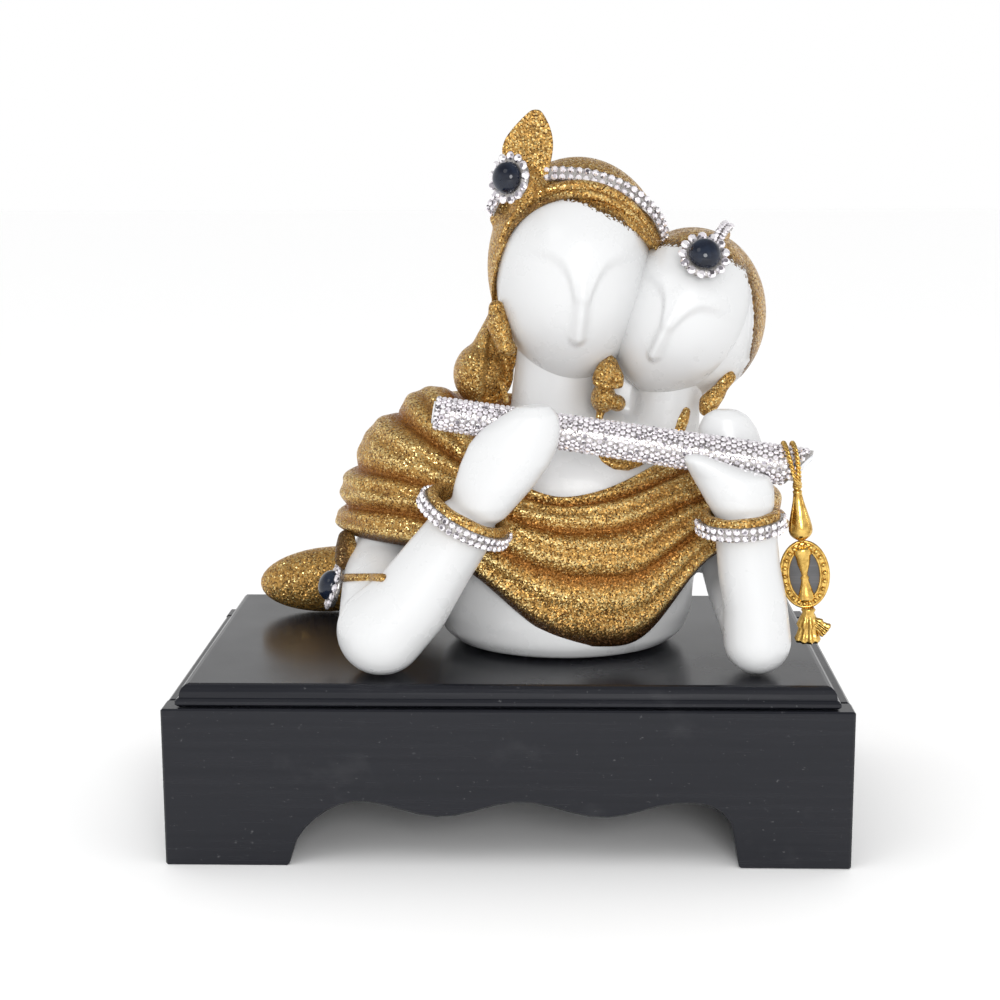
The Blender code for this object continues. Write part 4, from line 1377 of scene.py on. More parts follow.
        # Marks for the painted shade under the hem.
        note(cloth, "under", np.append(np.concatenate(unders), (0, 1)))
        self.dress(cloth, "shawl", GoldGlitter(), Slot.RESIN, ("figure",))
        self.build_tail()

    def ripple(self, t: np.ndarray, v: np.ndarray, share: float, roll: int) -> np.ndarray:
        """Gives the small creases that run along each roll.

        Args:
            t: Angles round the bodies.
            v: Shares of the way down at those angles.
            share: The share of the way down this roll.
            roll: Which roll, from the neckline.

        Returns:
            How far the creases stand proud, in millimetres.
        """
        crest = math.sin(math.pi * share)
        wave = np.sin(9.0 * v * math.tau + 2.2 * np.sin(t * 2 + roll) + 1.3 * roll)
        ends = 0.35 + 0.65 * np.abs(np.cos(t))
        pleat = np.sin(share * math.tau * 2 + 0.9 * np.sin(t * 3 + roll) - 1.2)
        pleat *= smooth_step(0.35, -0.35, np.sin(t))
        slow = np.sin(5 * t + 2.0 * roll)
        return crest * (self.crease * wave * ends + self.wave * slow + self.pleat * pleat)

    def build_tail(self) -> None:
        """Builds the tail that lies behind on the left, and the cloth that it comes from."""
        tail = fuse([ball(*self.tail_end), limb(self.tail_way)], "shawl_tail", 0.8, 4)
        self.dress(tail, "shawl_tail", GoldGlitter(), Slot.RESIN, ("figure",))


@dataclass
class Hair(SubAssembly):
    """The gold hair of both heads, with the rolled brim, the leaf and the hanging knot."""

    brim_middle: tuple[float, float] = (19.8, 112.0)
    bun: tuple[Point, Point, float] = ((-8.2, 4.0, 80.5), (9.2, 11.5, 9.8), 10)
    brooch_seat: Sequence[Section] = ((2.2, -15.4, 138.7, 5.0), (7.5, -8.5, 134.0, 8.0))
    lock: Sequence[Section] = ((2.5, 4, 106, 7.2), (0.6, 4, 96, 7.6), (-4.6, 4, 87, 7.4))
    blade: Sequence[Section] = (
        (129.0, 8.8, -15.6, 1.9), (133.0, 8.7, -15.0, 2.3), (136.0, 8.2, -14.5, 2.6),
        (138.5, 7.3, -13.9, 3.8), (141.0, 6.4, -13.4, 5.2), (143.5, 5.6, -12.8, 6.6),
        (146.0, 5.3, -12.3, 7.4), (148.0, 5.5, -11.8, 7.4), (150.0, 5.8, -11.4, 7.0),
        (152.0, 6.3, -11.0, 6.1), (154.0, 6.8, -10.6, 4.9), (156.0, 7.3, -10.1, 3.4),
        (157.5, 7.6, -9.8, 2.1), (158.4, 7.8, -9.5, 1.0),
    )
    blade_sides: int = 24
    blade_hollow: float = 0.9
    blade_curl: float = 1.5

    def brim(self, start: float, stop: float, half: tuple[float, float], front: float, side: float,
             radius: float, steps: int = 30) -> Form:
        """Adds one roll of the brim over the forehead of the larger head.

        Args:
            start: Where it starts, in degrees from the top of the head.
            stop: Where it ends.
            half: Its half width and its height over the brim's middle.
            front: Its depth at the top of the head.
            side: Its depth at the sides.
            radius: Its radius at its thickest.
            steps: How many stretches it has.

        Returns:
            The roll.
        """
        sections = []
        for k in range(steps + 1):
            a = math.radians(start + (stop - start) * k / steps)
            swell = 0.25 + 0.75 * math.sin(math.pi * (k + 0.5) / (steps + 1)) ** 0.6
            sections.append((
                self.brim_middle[0] + half[0] * math.sin(a), side + (front - side) * math.cos(a) ** 2,
                self.brim_middle[1] + half[1] * math.cos(a), radius * swell,
            ))
        return limb(sections, 20)

    def build(self) -> None:
        """Builds each head's hair, the brim and the leaf."""
        under_band = [
            (x * 0.96 + 0.8, y + 4.2, z - 2.2, min(3.4, 2.9 + 0.1 * x)) for x, y, z in CROWN_WAY
        ]
        larger = fuse([
            ball(*LARGER_CAP), ball(*self.bun), limb(under_band, 24), limb(self.brooch_seat, 32),
            limb(self.lock),
        ], "larger_hair", 0.8, 8)
        LARGER_HAIRLINE.clear(larger)
        self.dress(larger, "larger_hair", GoldGlitter(), Slot.RESIN, ("figure",))
        smaller = ball(*SMALLER_CAP, 0.0, 200)
        note(smaller, "gold", SMALLER_HAIRLINE.outside(points_of(smaller)))
        SMALLER_HAIRLINE.clear(smaller, 2.5)
        clean = WhiteResin("white resin, clean edge", edge=0.35)
        self.dress(smaller, "smaller_hair", clean, Slot.RESIN, ("figure",))
        rolls = fuse([
            self.brim(-70, 66, (24.0, 25.0), -17.4, -9.6, 1.6),
            self.brim(-66, 62, (22.8, 22.6), -19.4, -11.6, 1.25),
            self.brim(-68, 64, (23.2, 23.6), -16.4, -9.6, 1.4),
        ], "brim", 0.35, 2)
        outside = LARGER_HAIRLINE.outside(points_of(rolls))
        note(rolls, "under", smooth_step(2.4, 0.4, outside) * 0.7)
        # Painted grooves: fold rises and falls across the brim, so the glitter paints stripes of shade and
        # highlight along it.
        note(rolls, "fold", 0.45 + 0.55 * np.abs(np.sin(outside * 1.25)))
        self.dress(rolls, "brim", GoldGlitter(), Slot.RESIN, ("figure",))
        self.dress(self.leaf(), "leaf", GoldGlitter(), Slot.RESIN, ("figure",))

    def leaf(self) -> Form:
        """Models the leaf: a thick blade, hollowed in front, on a short stem.

        Returns:
            The leaf.
        """
        sides = self.blade_sides
        points, faces = [], []
        for z, x, y, half in self.blade:
            thick = 1.6 if half > 3 else 1.9
            for i in range(sides):
                a = math.tau * i / sides
                out = math.cos(a) ** 2
                hollow = self.blade_hollow * min(1.0, half / 6) * out * (1 if math.sin(a) > 0 else 0.2)
                depth = thick * math.sin(a) + 0.9 - self.blade_curl * out - hollow * 0.2
                points.append(on_figure(x + half * math.cos(a), y + depth, z))
        for row in range(len(self.blade) - 1):
            low, high = row * sides, (row + 1) * sides
            for i in range(sides):
                j = (i + 1) % sides
                faces.append((low + i, low + j, high + j, high + i))
        last = (len(self.blade) - 1) * sides
        faces += [tuple(reversed(range(sides))), tuple(last + i for i in range(sides))]
        leaf = made("leaf", points, faces)
        right_way_out(leaf)
        apply(leaf, "SUBSURF", levels=2, render_levels=2)
        return leaf


@dataclass(frozen=True)
class Lump:
    """One form of a cast ornament: a limb through its sections, or an egg where it has a tilt."""

    sections: Sequence[Section] = ()
    egg: tuple[Point, Point, float] | None = None
    sides: int = 40

    def shape(self) -> Form:
        """Adds the form."""
        return ball(*self.egg) if self.egg else limb(self.sections, self.sides)


@dataclass
class Trinkets(SubAssembly):
    """Ears, earrings, necklace and armlet strand, all in gold."""

    larger_ear: Sequence[Lump] = (
        Lump(((-3.8, -10.5, 101.5, 2.3), (-3.2, -11.0, 96.5, 3.3), (-1.8, -11.5, 92.6, 2.8))),
        Lump(egg=((-0.9, -12.0, 90.2), (3.0, 3.6, 2.6), 20)),
        Lump(egg=((-3.4, -12.0, 98.6), (1.8, 3.2, 2.6), 0)),
        Lump(((-2.6, -9.4, 79.4, 0.8), (-1.7, -9.4, 77.4, 1.0), (-1.1, -9.4, 74.0, 1.0))),
    )
    middle_earring: Sequence[Lump] = (
        Lump(((29.6, -13.5, 87.0, 1.0), (28.8, -15.0, 83.4, 3.4), (27.8, -15.6, 81.4, 3.5))),
        Lump(((30.4, -13.5, 86.4, 1.0), (31.6, -15.5, 81.8, 1.9), (32.0, -15.8, 80.0, 1.5))),
        Lump(((25.2, -18.4, 80.4, 0.9), (28.6, -19.6, 79.4, 1.0), (32.4, -18.0, 79.6, 0.9))),
        Lump(egg=((27.6, -14.0, 75.4), (3.7, 6.6, 4.4), 6)),
        Lump(egg=((31.6, -14.0, 73.9), (2.6, 5.8, 2.4), 12)),
        Lump(((26.6, -16.5, 71.0, 1.2), (26.2, -16.6, 68.4, 0.9))),
    )
    smaller_earring: Sequence[Lump] = (
        Lump((
            (65.0, -6.5, 80.6, 2.0), (62.8, -7.4, 77.8, 1.9), (61.2, -8.0, 75.6, 2.5),
            (59.0, -8.6, 73.2, 3.0), (58.2, -8.6, 71.4, 2.2),
        )),
        Lump(((52.2, -8.8, 70.6, 1.4), (51.2, -9.2, 67.8, 1.8), (50.0, -9.6, 64.5, 1.7))),
    )
    necklace: Sequence[Lump] = (Lump((
        (23.6, -13.6, 66.0, 1.5), (24.3, -16.2, 62.9, 1.5), (25.8, -18.4, 60.2, 1.6),
        (28.0, -20.0, 58.0, 1.7), (31.0, -20.9, 56.8, 1.7), (34.6, -20.8, 56.6, 1.7),
        (38.0, -19.6, 57.6, 1.6), (41.0, -17.6, 59.4, 1.5), (43.5, -15.4, 62.0, 1.4),
    ), sides=24),)
    strand: Lump = Lump((
        (-49.0, -11.4, 32.6, 2.6), (-49.0, -12.6, 30.0, 3.2), (-49.8, -13.8, 27.0, 2.6),
        (-49.8, -14.6, 24.0, 1.8), (-50.4, -15.0, 21.6, 1.9),
    ))
    armlet_start: Point = (-50.4, -15.0, 21.2)
    armlet_length: float = 12.6
    armlet_radius: float = 1.25

    def build(self) -> None:
        """Builds the cast trinkets in relief, and the dark strand down to the armlet."""
        for name, lumps, passes in (
            ("larger_ear", self.larger_ear, 3), ("middle_earring", self.middle_earring, 2),
            ("smaller_earring", self.smaller_earring, 3), ("necklace", self.necklace, 3),
        ):
            casting = fuse([lump.shape() for lump in lumps], name, 0.4, passes)
            self.dress(casting, name, GoldGlitter(), Slot.RESIN, ("figure",))
        strand = fuse([self.strand.shape(), self.armlet()], "armlet_strand", 0.3, 1)
        note(strand, "under", smooth_step(-0.0465, -0.0490, points_of(strand)[:, 0]) * 0.9)
        self.dress(strand, strand.name, GoldGlitter(), Slot.RESIN, ("figure",))

    def armlet(self) -> Form:
        """Lays the armlet's band on the upper arm, along the line on which the photograph shows it.

        Returns:
            The band.
        """
        arm = bpy.data.objects["left_arm"]
        eye = on_figure(*EYE)
        x, y, z = self.armlet_start
        sections = []
        for k in range(13):
            ahead = on_figure(x + self.armlet_length * k / 12, y, z) - eye
            hit, place, normal, _ = arm.ray_cast(eye, ahead.normalized())
            if hit:
                place = (place + normal * 0.2 * MM) / MM
                sections.append((place.x, place.y, place.z - FLOOR_OF_FIGURE, self.armlet_radius))
        return limb(sections, 20)


def cut_stone(radius: float, sides: int = 8) -> Form:
    """Models one cut stone in its cup at the origin, looking up.

    Args:
        radius: Its radius, in millimetres.
        sides: How many sides it has.

    Returns:
        The stone.
    """
    return turned((
        (-0.35 * radius, 0.86 * radius), (0.05 * radius, radius), (0.22 * radius, 0.93 * radius),
        (0.60 * radius, 0.52 * radius),
    ), Matrix.Identity(4), sides)


@dataclass(frozen=True)
class Strip:
    """The measures of a strip of two rows of stones, in millimetres."""

    radius: float
    pitch: float
    across: float
    lift: float


@dataclass
class StoneStrips(SubAssembly):
    """The strips of stones in two rows: over the brow, on the parting and on each bangle."""

    bangles: dict[str, tuple[Point, Point, float, tuple[float, float]]] = field(default_factory=lambda: {
        "left": ((-12.0, -42.9, 45.1), (0.47, -0.13, 0.87), 12.8, (-215, 5)),
        "right": ((65.6, -42.5, 43.6), (-0.07, -0.08, 0.99), 11.2, (-185, 5)),
    })
    bangle_height: float = 6.2
    bangle_wall: float = 3.1
    bangle_rise: float = 0.75
    crown_strip: Strip = Strip(1.02, 2.28, 1.14, 1.4)
    parting_strip: Strip = Strip(0.86, 1.80, 0.92, 1.4)
    bangle_strip: Strip = Strip(0.96, 2.04, 1.04, 1.2)
    parting: Sequence[Point] = (
        (58.6, -15.0, 117.0), (60.2, -10.4, 121.0), (61.8, -5.6, 122.9), (63.0, -1.2, 123.6),
        (63.8, 2.4, 123.4),
    )
    lock_height: float = 2.3
    lock_radius: float = 2.1

    @staticmethod
    def on_cap(cap: tuple[Point, Point], points: Sequence[Point]) -> tuple[list[Vector], list[Vector]]:
        """Brings points near a cap onto its surface.

        Args:
            cap: The cap's middle and radii.
            points: Points of the figure near the cap.

        Returns:
            The points in metres, and the outward directions there.
        """
        middle, radii = Vector(cap[0]), cap[1]
        path, outward = [], []
        for point in points:
            local = Vector(point) - middle
            local /= Vector([local[k] / radii[k] for k in range(3)]).length
            outward.append(Vector([local[k] / radii[k] ** 2 for k in range(3)]).normalized())
            path.append(on_figure(*(middle + local)))
        return path, outward

    @staticmethod
    def eased(points: Sequence[Point], steps: int = 6) -> list[Vector]:
        """Draws a soft curve through points.

        Args:
            points: Points of the figure.
            steps: How many stretches each gap gets.

        Returns:
            The curve's points, in millimetres.
        """
        ways = [Vector(point) for point in points]
        ways = [ways[0] * 2 - ways[1], *ways, ways[-1] * 2 - ways[-2]]
        curve = []
        for k in range(1, len(ways) - 2):
            a, b, c, d = ways[k - 1:k + 3]
            for step in range(steps):
                s = step / steps
                bend, twist = a * 2 - b * 5 + c * 4 - d, b * 3 - a - c * 3 + d
                curve.append((b * 2 + (c - a) * s + bend * s**2 + twist * s**3) / 2)
        return [*curve, ways[-2]]

    def band(self, name: str, strip: Strip, path: list[Vector], outward: list[Vector], node: str) -> None:
        """Models the flat metal band under two rows of stones.

        Args:
            name: The band's name.
            strip: The strip's measures.
            path: Points along its middle, in metres.
            outward: The outward direction at each point.
            node: The node that it is shown in place of.
        """
        wide = strip.across + strip.radius * 0.9
        section = (
            (-wide, 0.1), (-wide, 0.75), (-wide * 0.8, 1.0), (wide * 0.8, 1.0), (wide, 0.75), (wide, 0.1),
        )
        points, faces = [], []
        for k, (point, out) in enumerate(zip(path, outward)):
            along = path[min(k + 1, len(path) - 1)] - path[max(k - 1, 0)]
            side = along.cross(out).normalized()
            points += [point + (side * u + out * (v * strip.lift - 0.3)) * MM for u, v in section]
        count = len(section)
        for k in range(len(path) - 1):
            for i in range(count):
                j = (i + 1) % count
                faces.append((k * count + i, k * count + j, (k + 1) * count + j, (k + 1) * count + i))
        faces += [tuple(range(count)), tuple((len(path) - 1) * count + i for i in range(count))]
        strap = made(name, points, faces)
        right_way_out(strap)
        self.dress(strap, name, SilverCups(), Slot.STONES, (node,), smooth=False)

    def rows(self, name: str, strip: Strip, path: list[Vector], outward: list[Vector]) -> None:
        """Sets two rows of stones at an even pitch along a path.

        Args:
            name: The name of the stones.
            strip: The strip's measures.
            path: Points along the middle of the strip, in metres.
            outward: The outward direction at each point.
        """
        lengths = np.concatenate([[0], np.cumsum([(b - a).length for a, b in zip(path, path[1:])])])
        count = int(lengths[-1] / (strip.pitch * MM))
        frames = []
        for k in range(count + 1):
            at = lengths[-1] * k / count
            index = min(int(np.searchsorted(lengths, at, side="right")) - 1, len(path) - 2)
            share = (at - lengths[index]) / (lengths[index + 1] - lengths[index])
            point = path[index].lerp(path[index + 1], share)
            out = outward[index].lerp(outward[index + 1], share).normalized()
            side = (path[index + 1] - path[index]).normalized().cross(out).normalized()
            for sign in (-1, 1):
                spot = point + (side * sign * strip.across + out * strip.lift) * MM
                frames.append(facing(spot, out, side))
        stones = stamped(name, cut_stone(strip.radius), frames)
        self.dress(stones, name, CutStones(), Slot.STONES, smooth=False)

    def build(self) -> None:
        """Builds the gold rings of the bangles, the bands and the stones of every strip."""
        over = self.eased(CROWN_WAY)
        outward = [
            Vector((((p.x - 19.8) / 26) ** 3 * 1.4, -0.9, 0.28 * (p.z - 112) / 28)).normalized() for p in over
        ]
        self.set_strip("crown", self.crown_strip, [on_figure(*p) for p in over], outward, "crown_band")
        way, outward = self.on_cap(SMALLER_CAP, self.eased(self.parting))
        self.build_lock(way, outward)
        way = [point + out * self.lock_height * MM for point, out in zip(way, outward)]
        self.set_strip("parting", self.parting_strip, way, outward, "parting_strip")
        for name, (centre, axis, radius, (start, stop)) in self.bangles.items():
            frame = facing(on_figure(*centre), axis, (1, 0, 0))
            self.build_ring(name, frame, radius)
            path, outward = [], []
            for k in range(61):
                a = math.radians(start + (stop - start) * k / 60)
                direction = frame.to_3x3() @ Vector((math.cos(a), math.sin(a), 0))
                path.append(frame.translation + direction * radius * MM)
                outward.append(direction)
            self.set_strip(f"{name}_bangle", self.bangle_strip, path, outward, f"bangle_band_{name}")

    def set_strip(self, name: str, strip: Strip, path: list[Vector], outward: list[Vector],
                  node: str) -> None:
        """Models one strip: its band and its stones.

        Args:
            name: The strip's name.
            strip: Its measures.
            path: Points along its middle, in metres.
            outward: The outward direction at each point.
            node: The node that it is shown in place of.
        """
        self.band(f"{name}_strap", strip, path, outward, node)
        self.rows(f"{name}_stones", strip, path, outward)

    def build_lock(self, way: list[Vector], outward: list[Vector]) -> None:
        """Models the gold lock that carries the parting's strip.

        Args:
            way: Points on the smaller cap, in metres.
            outward: The outward direction at each point.
        """
        sections = []
        for point, out in zip(way[::3], outward[::3]):
            middle = point / MM + out * (self.lock_height - self.lock_radius)
            sections.append((middle.x, middle.y, middle.z - FLOOR_OF_FIGURE, self.lock_radius))
        lock = fuse([limb(sections, 20)], "parting_lock", 0.35, 3)
        self.dress(lock, "parting_lock", GoldGlitter(), Slot.RESIN, ("figure",))

    def build_ring(self, name: str, frame: Matrix, radius: float) -> None:
        """Models the gold ring of a bangle: a broad band with rounded edges.

        Args:
            name: Which arm's bangle it is.
            frame: Its middle, with z along the arm.
            radius: Its outer radius, in millimetres.
        """
        let_go()
        bpy.ops.mesh.primitive_torus_add(
            major_segments=120, minor_segments=28, major_radius=(radius - self.bangle_wall / 2) * MM,
            minor_radius=MM,
        )
        ring = bpy.context.object
        points = points_of(ring)
        angle = np.arctan2(points[:, 1], points[:, 0])
        reach = np.hypot(points[:, 0], points[:, 1]) / MM - (radius - self.bangle_wall / 2)
        height = points[:, 2] / MM
        reach, height = (np.sign(value) * np.abs(value) ** 0.55 for value in (reach, height))
        round_it = radius - self.bangle_wall / 2 + reach * self.bangle_wall / 2
        points[:, 0], points[:, 1] = np.cos(angle) * round_it * MM, np.sin(angle) * round_it * MM
        uneven = 0.12 * np.sin(angle * 3 + radius) + 0.08 * np.sin(angle * 7)
        points[:, 2] = (height * self.bangle_height / 2 + self.bangle_rise + uneven) * MM
        put_points(ring, points)
        ring.matrix_world = frame
        settle(ring)
        self.dress(ring, f"{name}_bangle", GoldGlitter(), Slot.RESIN, ("figure",))


@dataclass
class Brooches(SubAssembly):
    """The three brooches: a dark dome with a ring of stones round it."""

    places: dict[str, tuple[Point, Point, float]] = field(default_factory=lambda: {
        "crown": ((0.6, -17.5, 139.0), (-0.62, -0.76, 0.12), 7.2),
        "forehead": ((55.6, -23.2, 117.0), (0.10, -0.80, 0.52), 7.2),
        "armlet": ((-52.2, -15.0, 18.6), (-0.94, -0.16, 0.30), 7.0),
    })
    dome_radius: float = 4.6
    dome_height: float = 3.7
    thickness: float = 2.0
    stones: int = 13
    stone_radius: float = 1.34

    def build(self) -> None:
        """Builds the setting, the stones and the dome of each brooch."""
        for name, (centre, normal, radius) in self.places.items():
            frame = facing(on_figure(*centre), normal)
            half = self.thickness / 2
            setting = turned((
                (-half, radius * 0.88), (0.0, radius * 0.93), (half * 0.5, radius * 0.86),
                (half * 0.9, radius * 0.8), (half, self.dome_radius * 1.05),
            ), frame, 56)
            self.dress(setting, f"{name}_cups", SilverCups(), Slot.STONES, (f"{name}_setting",))
            frames = []
            for k in range(self.stones):
                a = math.tau * k / self.stones
                place = Vector((math.cos(a), math.sin(a), 0)) * (radius - 1.0) + Vector((0, 0, half * 0.8))
                frames.append(frame @ Matrix.Translation(place * MM))
            stones = stamped(f"{name}_stones", cut_stone(self.stone_radius, 10), frames)
            self.dress(stones, stones.name, CutStones(), Slot.STONES, smooth=False)
            profile = [(0.0, self.dome_radius * 0.98)]
            for k in range(13):
                a = math.pi / 2 * k / 13
                profile.append((0.5 + self.dome_height * math.sin(a), self.dome_radius * math.cos(a)))
            dome = turned(profile, frame @ Matrix.Translation((0, 0, half * MM)), 64)
            self.dress(dome, f"{name}_dome", DarkCabochon(), Slot.CABOCHON, (f"{name}_stone",))


@dataclass
class Flute(SubAssembly):
    """The flute: a plain tube in a sleeve of close-set stones, cut at a slant on the right."""

    left_radius: float = 4.3
    right_radius: float = 5.3
    slant: float = 3.4
    slant_turn: float = 20.0
    sleeve_wall: float = 1.1
    tube_wall: float = 1.0
    tube_end: float = 1.5
    pitch: float = 1.72
    stone: float = 0.84
    stones_around: int = 17
    row_share: float = 0.87

    def build(self) -> None:
        """Builds the tube and its sleeve and sets the stones round them."""
        start, end = on_figure(*FLUTE_START), on_figure(*FLUTE_END)
        frame = facing(start, end - start)
        length = (end - start).length / MM
        frames = []
        self.build_pipe(
            "flute_lining", frame, length, self.sleeve_wall, self.tube_wall, self.tube_end, PlainTube()
        )
        self.build_pipe("flute_cups", frame, length, 0.0, self.sleeve_wall - 0.05, 0.0, SilverCups())
        rings = int(length / (self.pitch * self.row_share))
        for ring in range(rings + 3):
            along = ring * self.pitch * self.row_share + 0.8
            radius = self.left_radius + (self.right_radius - self.left_radius) * along / length
            for k in range(self.stones_around):
                a = math.tau * (k + 0.5 * (ring % 2)) / self.stones_around
                if along > length - 0.6 - self.cut_back(a):
                    continue
                out = Vector((math.cos(a), math.sin(a), 0))
                spot = frame @ ((out * (radius + 0.05) + Vector((0, 0, along))) * MM)
                frames.append(facing(spot, frame.to_3x3() @ out, frame.to_3x3() @ Vector((0, 0, 1))))
        stones = stamped("flute_stones", cut_stone(self.stone, 6), frames)
        self.dress(stones, "flute_stones", CutStones(), Slot.STONES, smooth=False)

    def cut_back(self, angle: float) -> float:
        """Gives how far the slanted end is cut back at an angle from the top, in millimetres."""
        return self.slant * (1 - math.cos(angle + math.radians(self.slant_turn)))

    def build_pipe(self, name: str, frame: Matrix, length: float, inset: float, wall: float, proud: float,
                   finish: Finish) -> None:
        """Models one of the flute's two pipes, cut at a slant on the right.

        Args:
            name: The pipe's name.
            frame: The flute's start, looking along it.
            length: The flute's length, in millimetres.
            inset: How far the pipe's outside lies within the flute's.
            wall: The thickness of the pipe's wall.
            proud: How much less of it is cut back.
            finish: Its finish.
        """
        sides, stations = 64, 24
        points, faces = [], []
        start = -0.5 * bool(proud)
        for layer in (inset, inset + wall):
            for k in range(stations + 1):
                for i in range(sides):
                    a = math.tau * i / sides
                    cut = max(0.0, self.cut_back(a) * (1 - 0.17 * proud) - 0.5 * proud)
                    end = length - 0.3 * bool(proud) - cut
                    along = start + (end - start) * k / stations
                    grown = (self.right_radius - self.left_radius) * along / length
                    radius = self.left_radius + grown - layer
                    place = Vector((math.cos(a) * radius, math.sin(a) * radius, along))
                    points.append(frame @ (place * MM))
        layer_size = (stations + 1) * sides
        for k in range(stations):
            for i in range(sides):
                j = (i + 1) % sides
                row, following = k * sides, (k + 1) * sides
                faces.append((row + i, row + j, following + j, following + i))
                faces.append((layer_size + row + i, layer_size + following + i, layer_size + following + j,
                              layer_size + row + j))
        for row in (0, stations * sides):
            for i in range(sides):
                j = (i + 1) % sides
                faces.append((row + i, row + j, layer_size + row + j, layer_size + row + i))
        pipe = made(name, points, faces)
        right_way_out(pipe)
        node = "flute_tube" if proud else "flute_sleeve"
        slot = Slot.PLASTIC if proud else Slot.STONES
        self.dress(pipe, name, finish, slot, (node,))


@dataclass
class Tassel(SubAssembly):
    """The tassel at the flute's right end: thread, drop, beaded oval charm and filigree cap."""

    hang_back: float = 6.6
    reach: float = 6.4
    strand: float = 0.40
    knot_strand: float = 0.62
    thread_lean: float = 2.8
    thread_dip: float = -1.4
    knot: float = 1.9
    drop_lean: float = 0.11
    charm_lean: float = 0.11
    cap_lean: float = 0.0
    drop_radius: float = 3.4
    drop_length: float = 14.8
    drop_profile: Sequence[tuple[float, float]] = (
        (0.0, 0.30), (0.03, 0.40), (0.07, 0.36), (0.22, 0.46), (0.40, 0.66), (0.58, 0.86), (0.72, 0.98),
        (0.80, 1.0), (0.87, 0.92), (0.93, 0.70), (0.98, 0.38), (1.0, 0.16),
    )
    seam: float = 0.16
    charm_width: float = 14.4
    charm_height: float = 20.0
    charm_rim: float = 2.9
    bead_inset: float = 1.45
    bead_radius: float = 0.72
    beads: int = 22
    bar_profile: Sequence[tuple[float, float]] = (
        (0, 2.2), (0.06, 2.6), (0.12, 2.7), (0.16, 2.2), (0.32, 1.75), (0.46, 1.0), (0.52, 0.85),
        (0.56, 1.3), (0.60, 1.05), (0.74, 1.6), (0.88, 2.3), (0.94, 2.6), (1, 2.2),
    )
    cap_length: float = 10.3
    cap_profile: Sequence[tuple[float, float]] = (
        (0.0, 1.5), (0.08, 2.1), (0.16, 1.7), (0.34, 2.3), (0.52, 3.0), (0.62, 2.4), (0.78, 2.8),
        (0.92, 3.4), (1.0, 3.1),
    )
    cap_flutes: int = 9
    cap_flute_depth: float = 0.13
    side_bell: float = 0.62
    overlap: float = 0.1

    def build(self) -> None:
        """Builds the tassel from its thread down."""
        start, end = on_figure(*FLUTE_START), on_figure(*FLUTE_END)
        frame = facing(start, end - start)
        hang = frame @ Vector((0, 0, (end - start).length - self.hang_back * MM))
        self.build_thread(hang)
        lowest = self.reach + self.thread_dip + self.knot
        top = hang + Vector((self.thread_lean, 0, -lowest)) * MM
        down = facing(top, (self.drop_lean, 0, -1), (1, 0, 0))
        self.build_drop(down)
        under = down @ Vector((0, 0, (self.drop_length - self.overlap) * MM))
        charm = facing(under, (self.charm_lean, 0, -1), (1, 0, 0))
        self.build_charm(charm)
        under = charm @ Vector((0.3 * MM, 0, (self.charm_height - 0.4) * MM))
        cap = facing(under, (self.cap_lean, 0, -1), (1, 0, 0))
        self.build_cap(cap)

    def build_thread(self, hang: Vector) -> None:
        """Lays two twisted loops over the flute, met in a knot under it.

        Args:
            hang: The middle of the flute where they lie, in metres.
        """
        strands = []
        for lean, turn in ((-1.3, 0.0), (-1.3, math.pi), (1.2, 0.7), (1.2, 0.7 + math.pi)):
            path = []
            for k in range(200):
                a = math.tau * k / 200
                low = (1 - math.cos(a)) / 2
                twist = 15 * a + turn
                across = Vector((
                    math.cos(twist), math.sin(a) * math.sin(twist), math.cos(a) * math.sin(twist),
                ))
                middle = Vector((
                    self.thread_lean * low + lean * (1 - low**1.6),
                    math.sin(a) * self.reach * (1 - 0.25 * low**4),
                    math.cos(a) * self.reach - self.thread_dip * low**6,
                ))
                path.append(hang + (middle + across * self.strand * 0.9) * MM)
            strands.append(tube_along(path, self.strand, 8, closed=True))
        for turn in (0.0, math.pi):
            path = []
            for k in range(40):
                share = k / 39
                twist = 9.5 * share + turn
                height = 0.6 - self.reach - self.thread_dip - (self.knot + 0.6) * share
                swell = 0.35 + 0.45 * math.sin(math.pi * share)
                across = Vector((math.cos(twist), math.sin(twist), 0)) * swell
                path.append(hang + (Vector((self.thread_lean, 0, height)) + across) * MM)
            strands.append(tube_along(path, self.knot_strand, 10))
        self.dress(join(strands, "tassel_cord"), "tassel_cord", PlatedGold(), Slot.GOLD, ("tassel_thread",))

    def build_drop(self, down: Matrix) -> None:
        """Turns the drop, with a raised seam down each side.

        Args:
            down: Its top, looking down.
        """
        r, h = self.drop_radius, self.drop_length
        drop = turned([(h * share, r * width) for share, width in self.drop_profile], down, 48)
        body = self.drop_profile[2:9]
        seams = []
        for angle in (0.9, 0.9 + math.pi, 2.6, 2.6 + math.pi):
            path = []
            for k in range(16):
                share = 0.10 + 0.72 * k / 15
                radius = r * np.interp(share, *zip(*body))
                place = Vector((math.cos(angle) * radius, math.sin(angle) * radius, h * share))
                path.append(down @ (place * MM))
            seams.append(tube_along(path, self.seam, 6))
        bead = join([drop, *seams], "tassel_bead")
        self.dress(bead, "tassel_bead", PlatedGold(), Slot.GOLD, ("tassel_drop",))

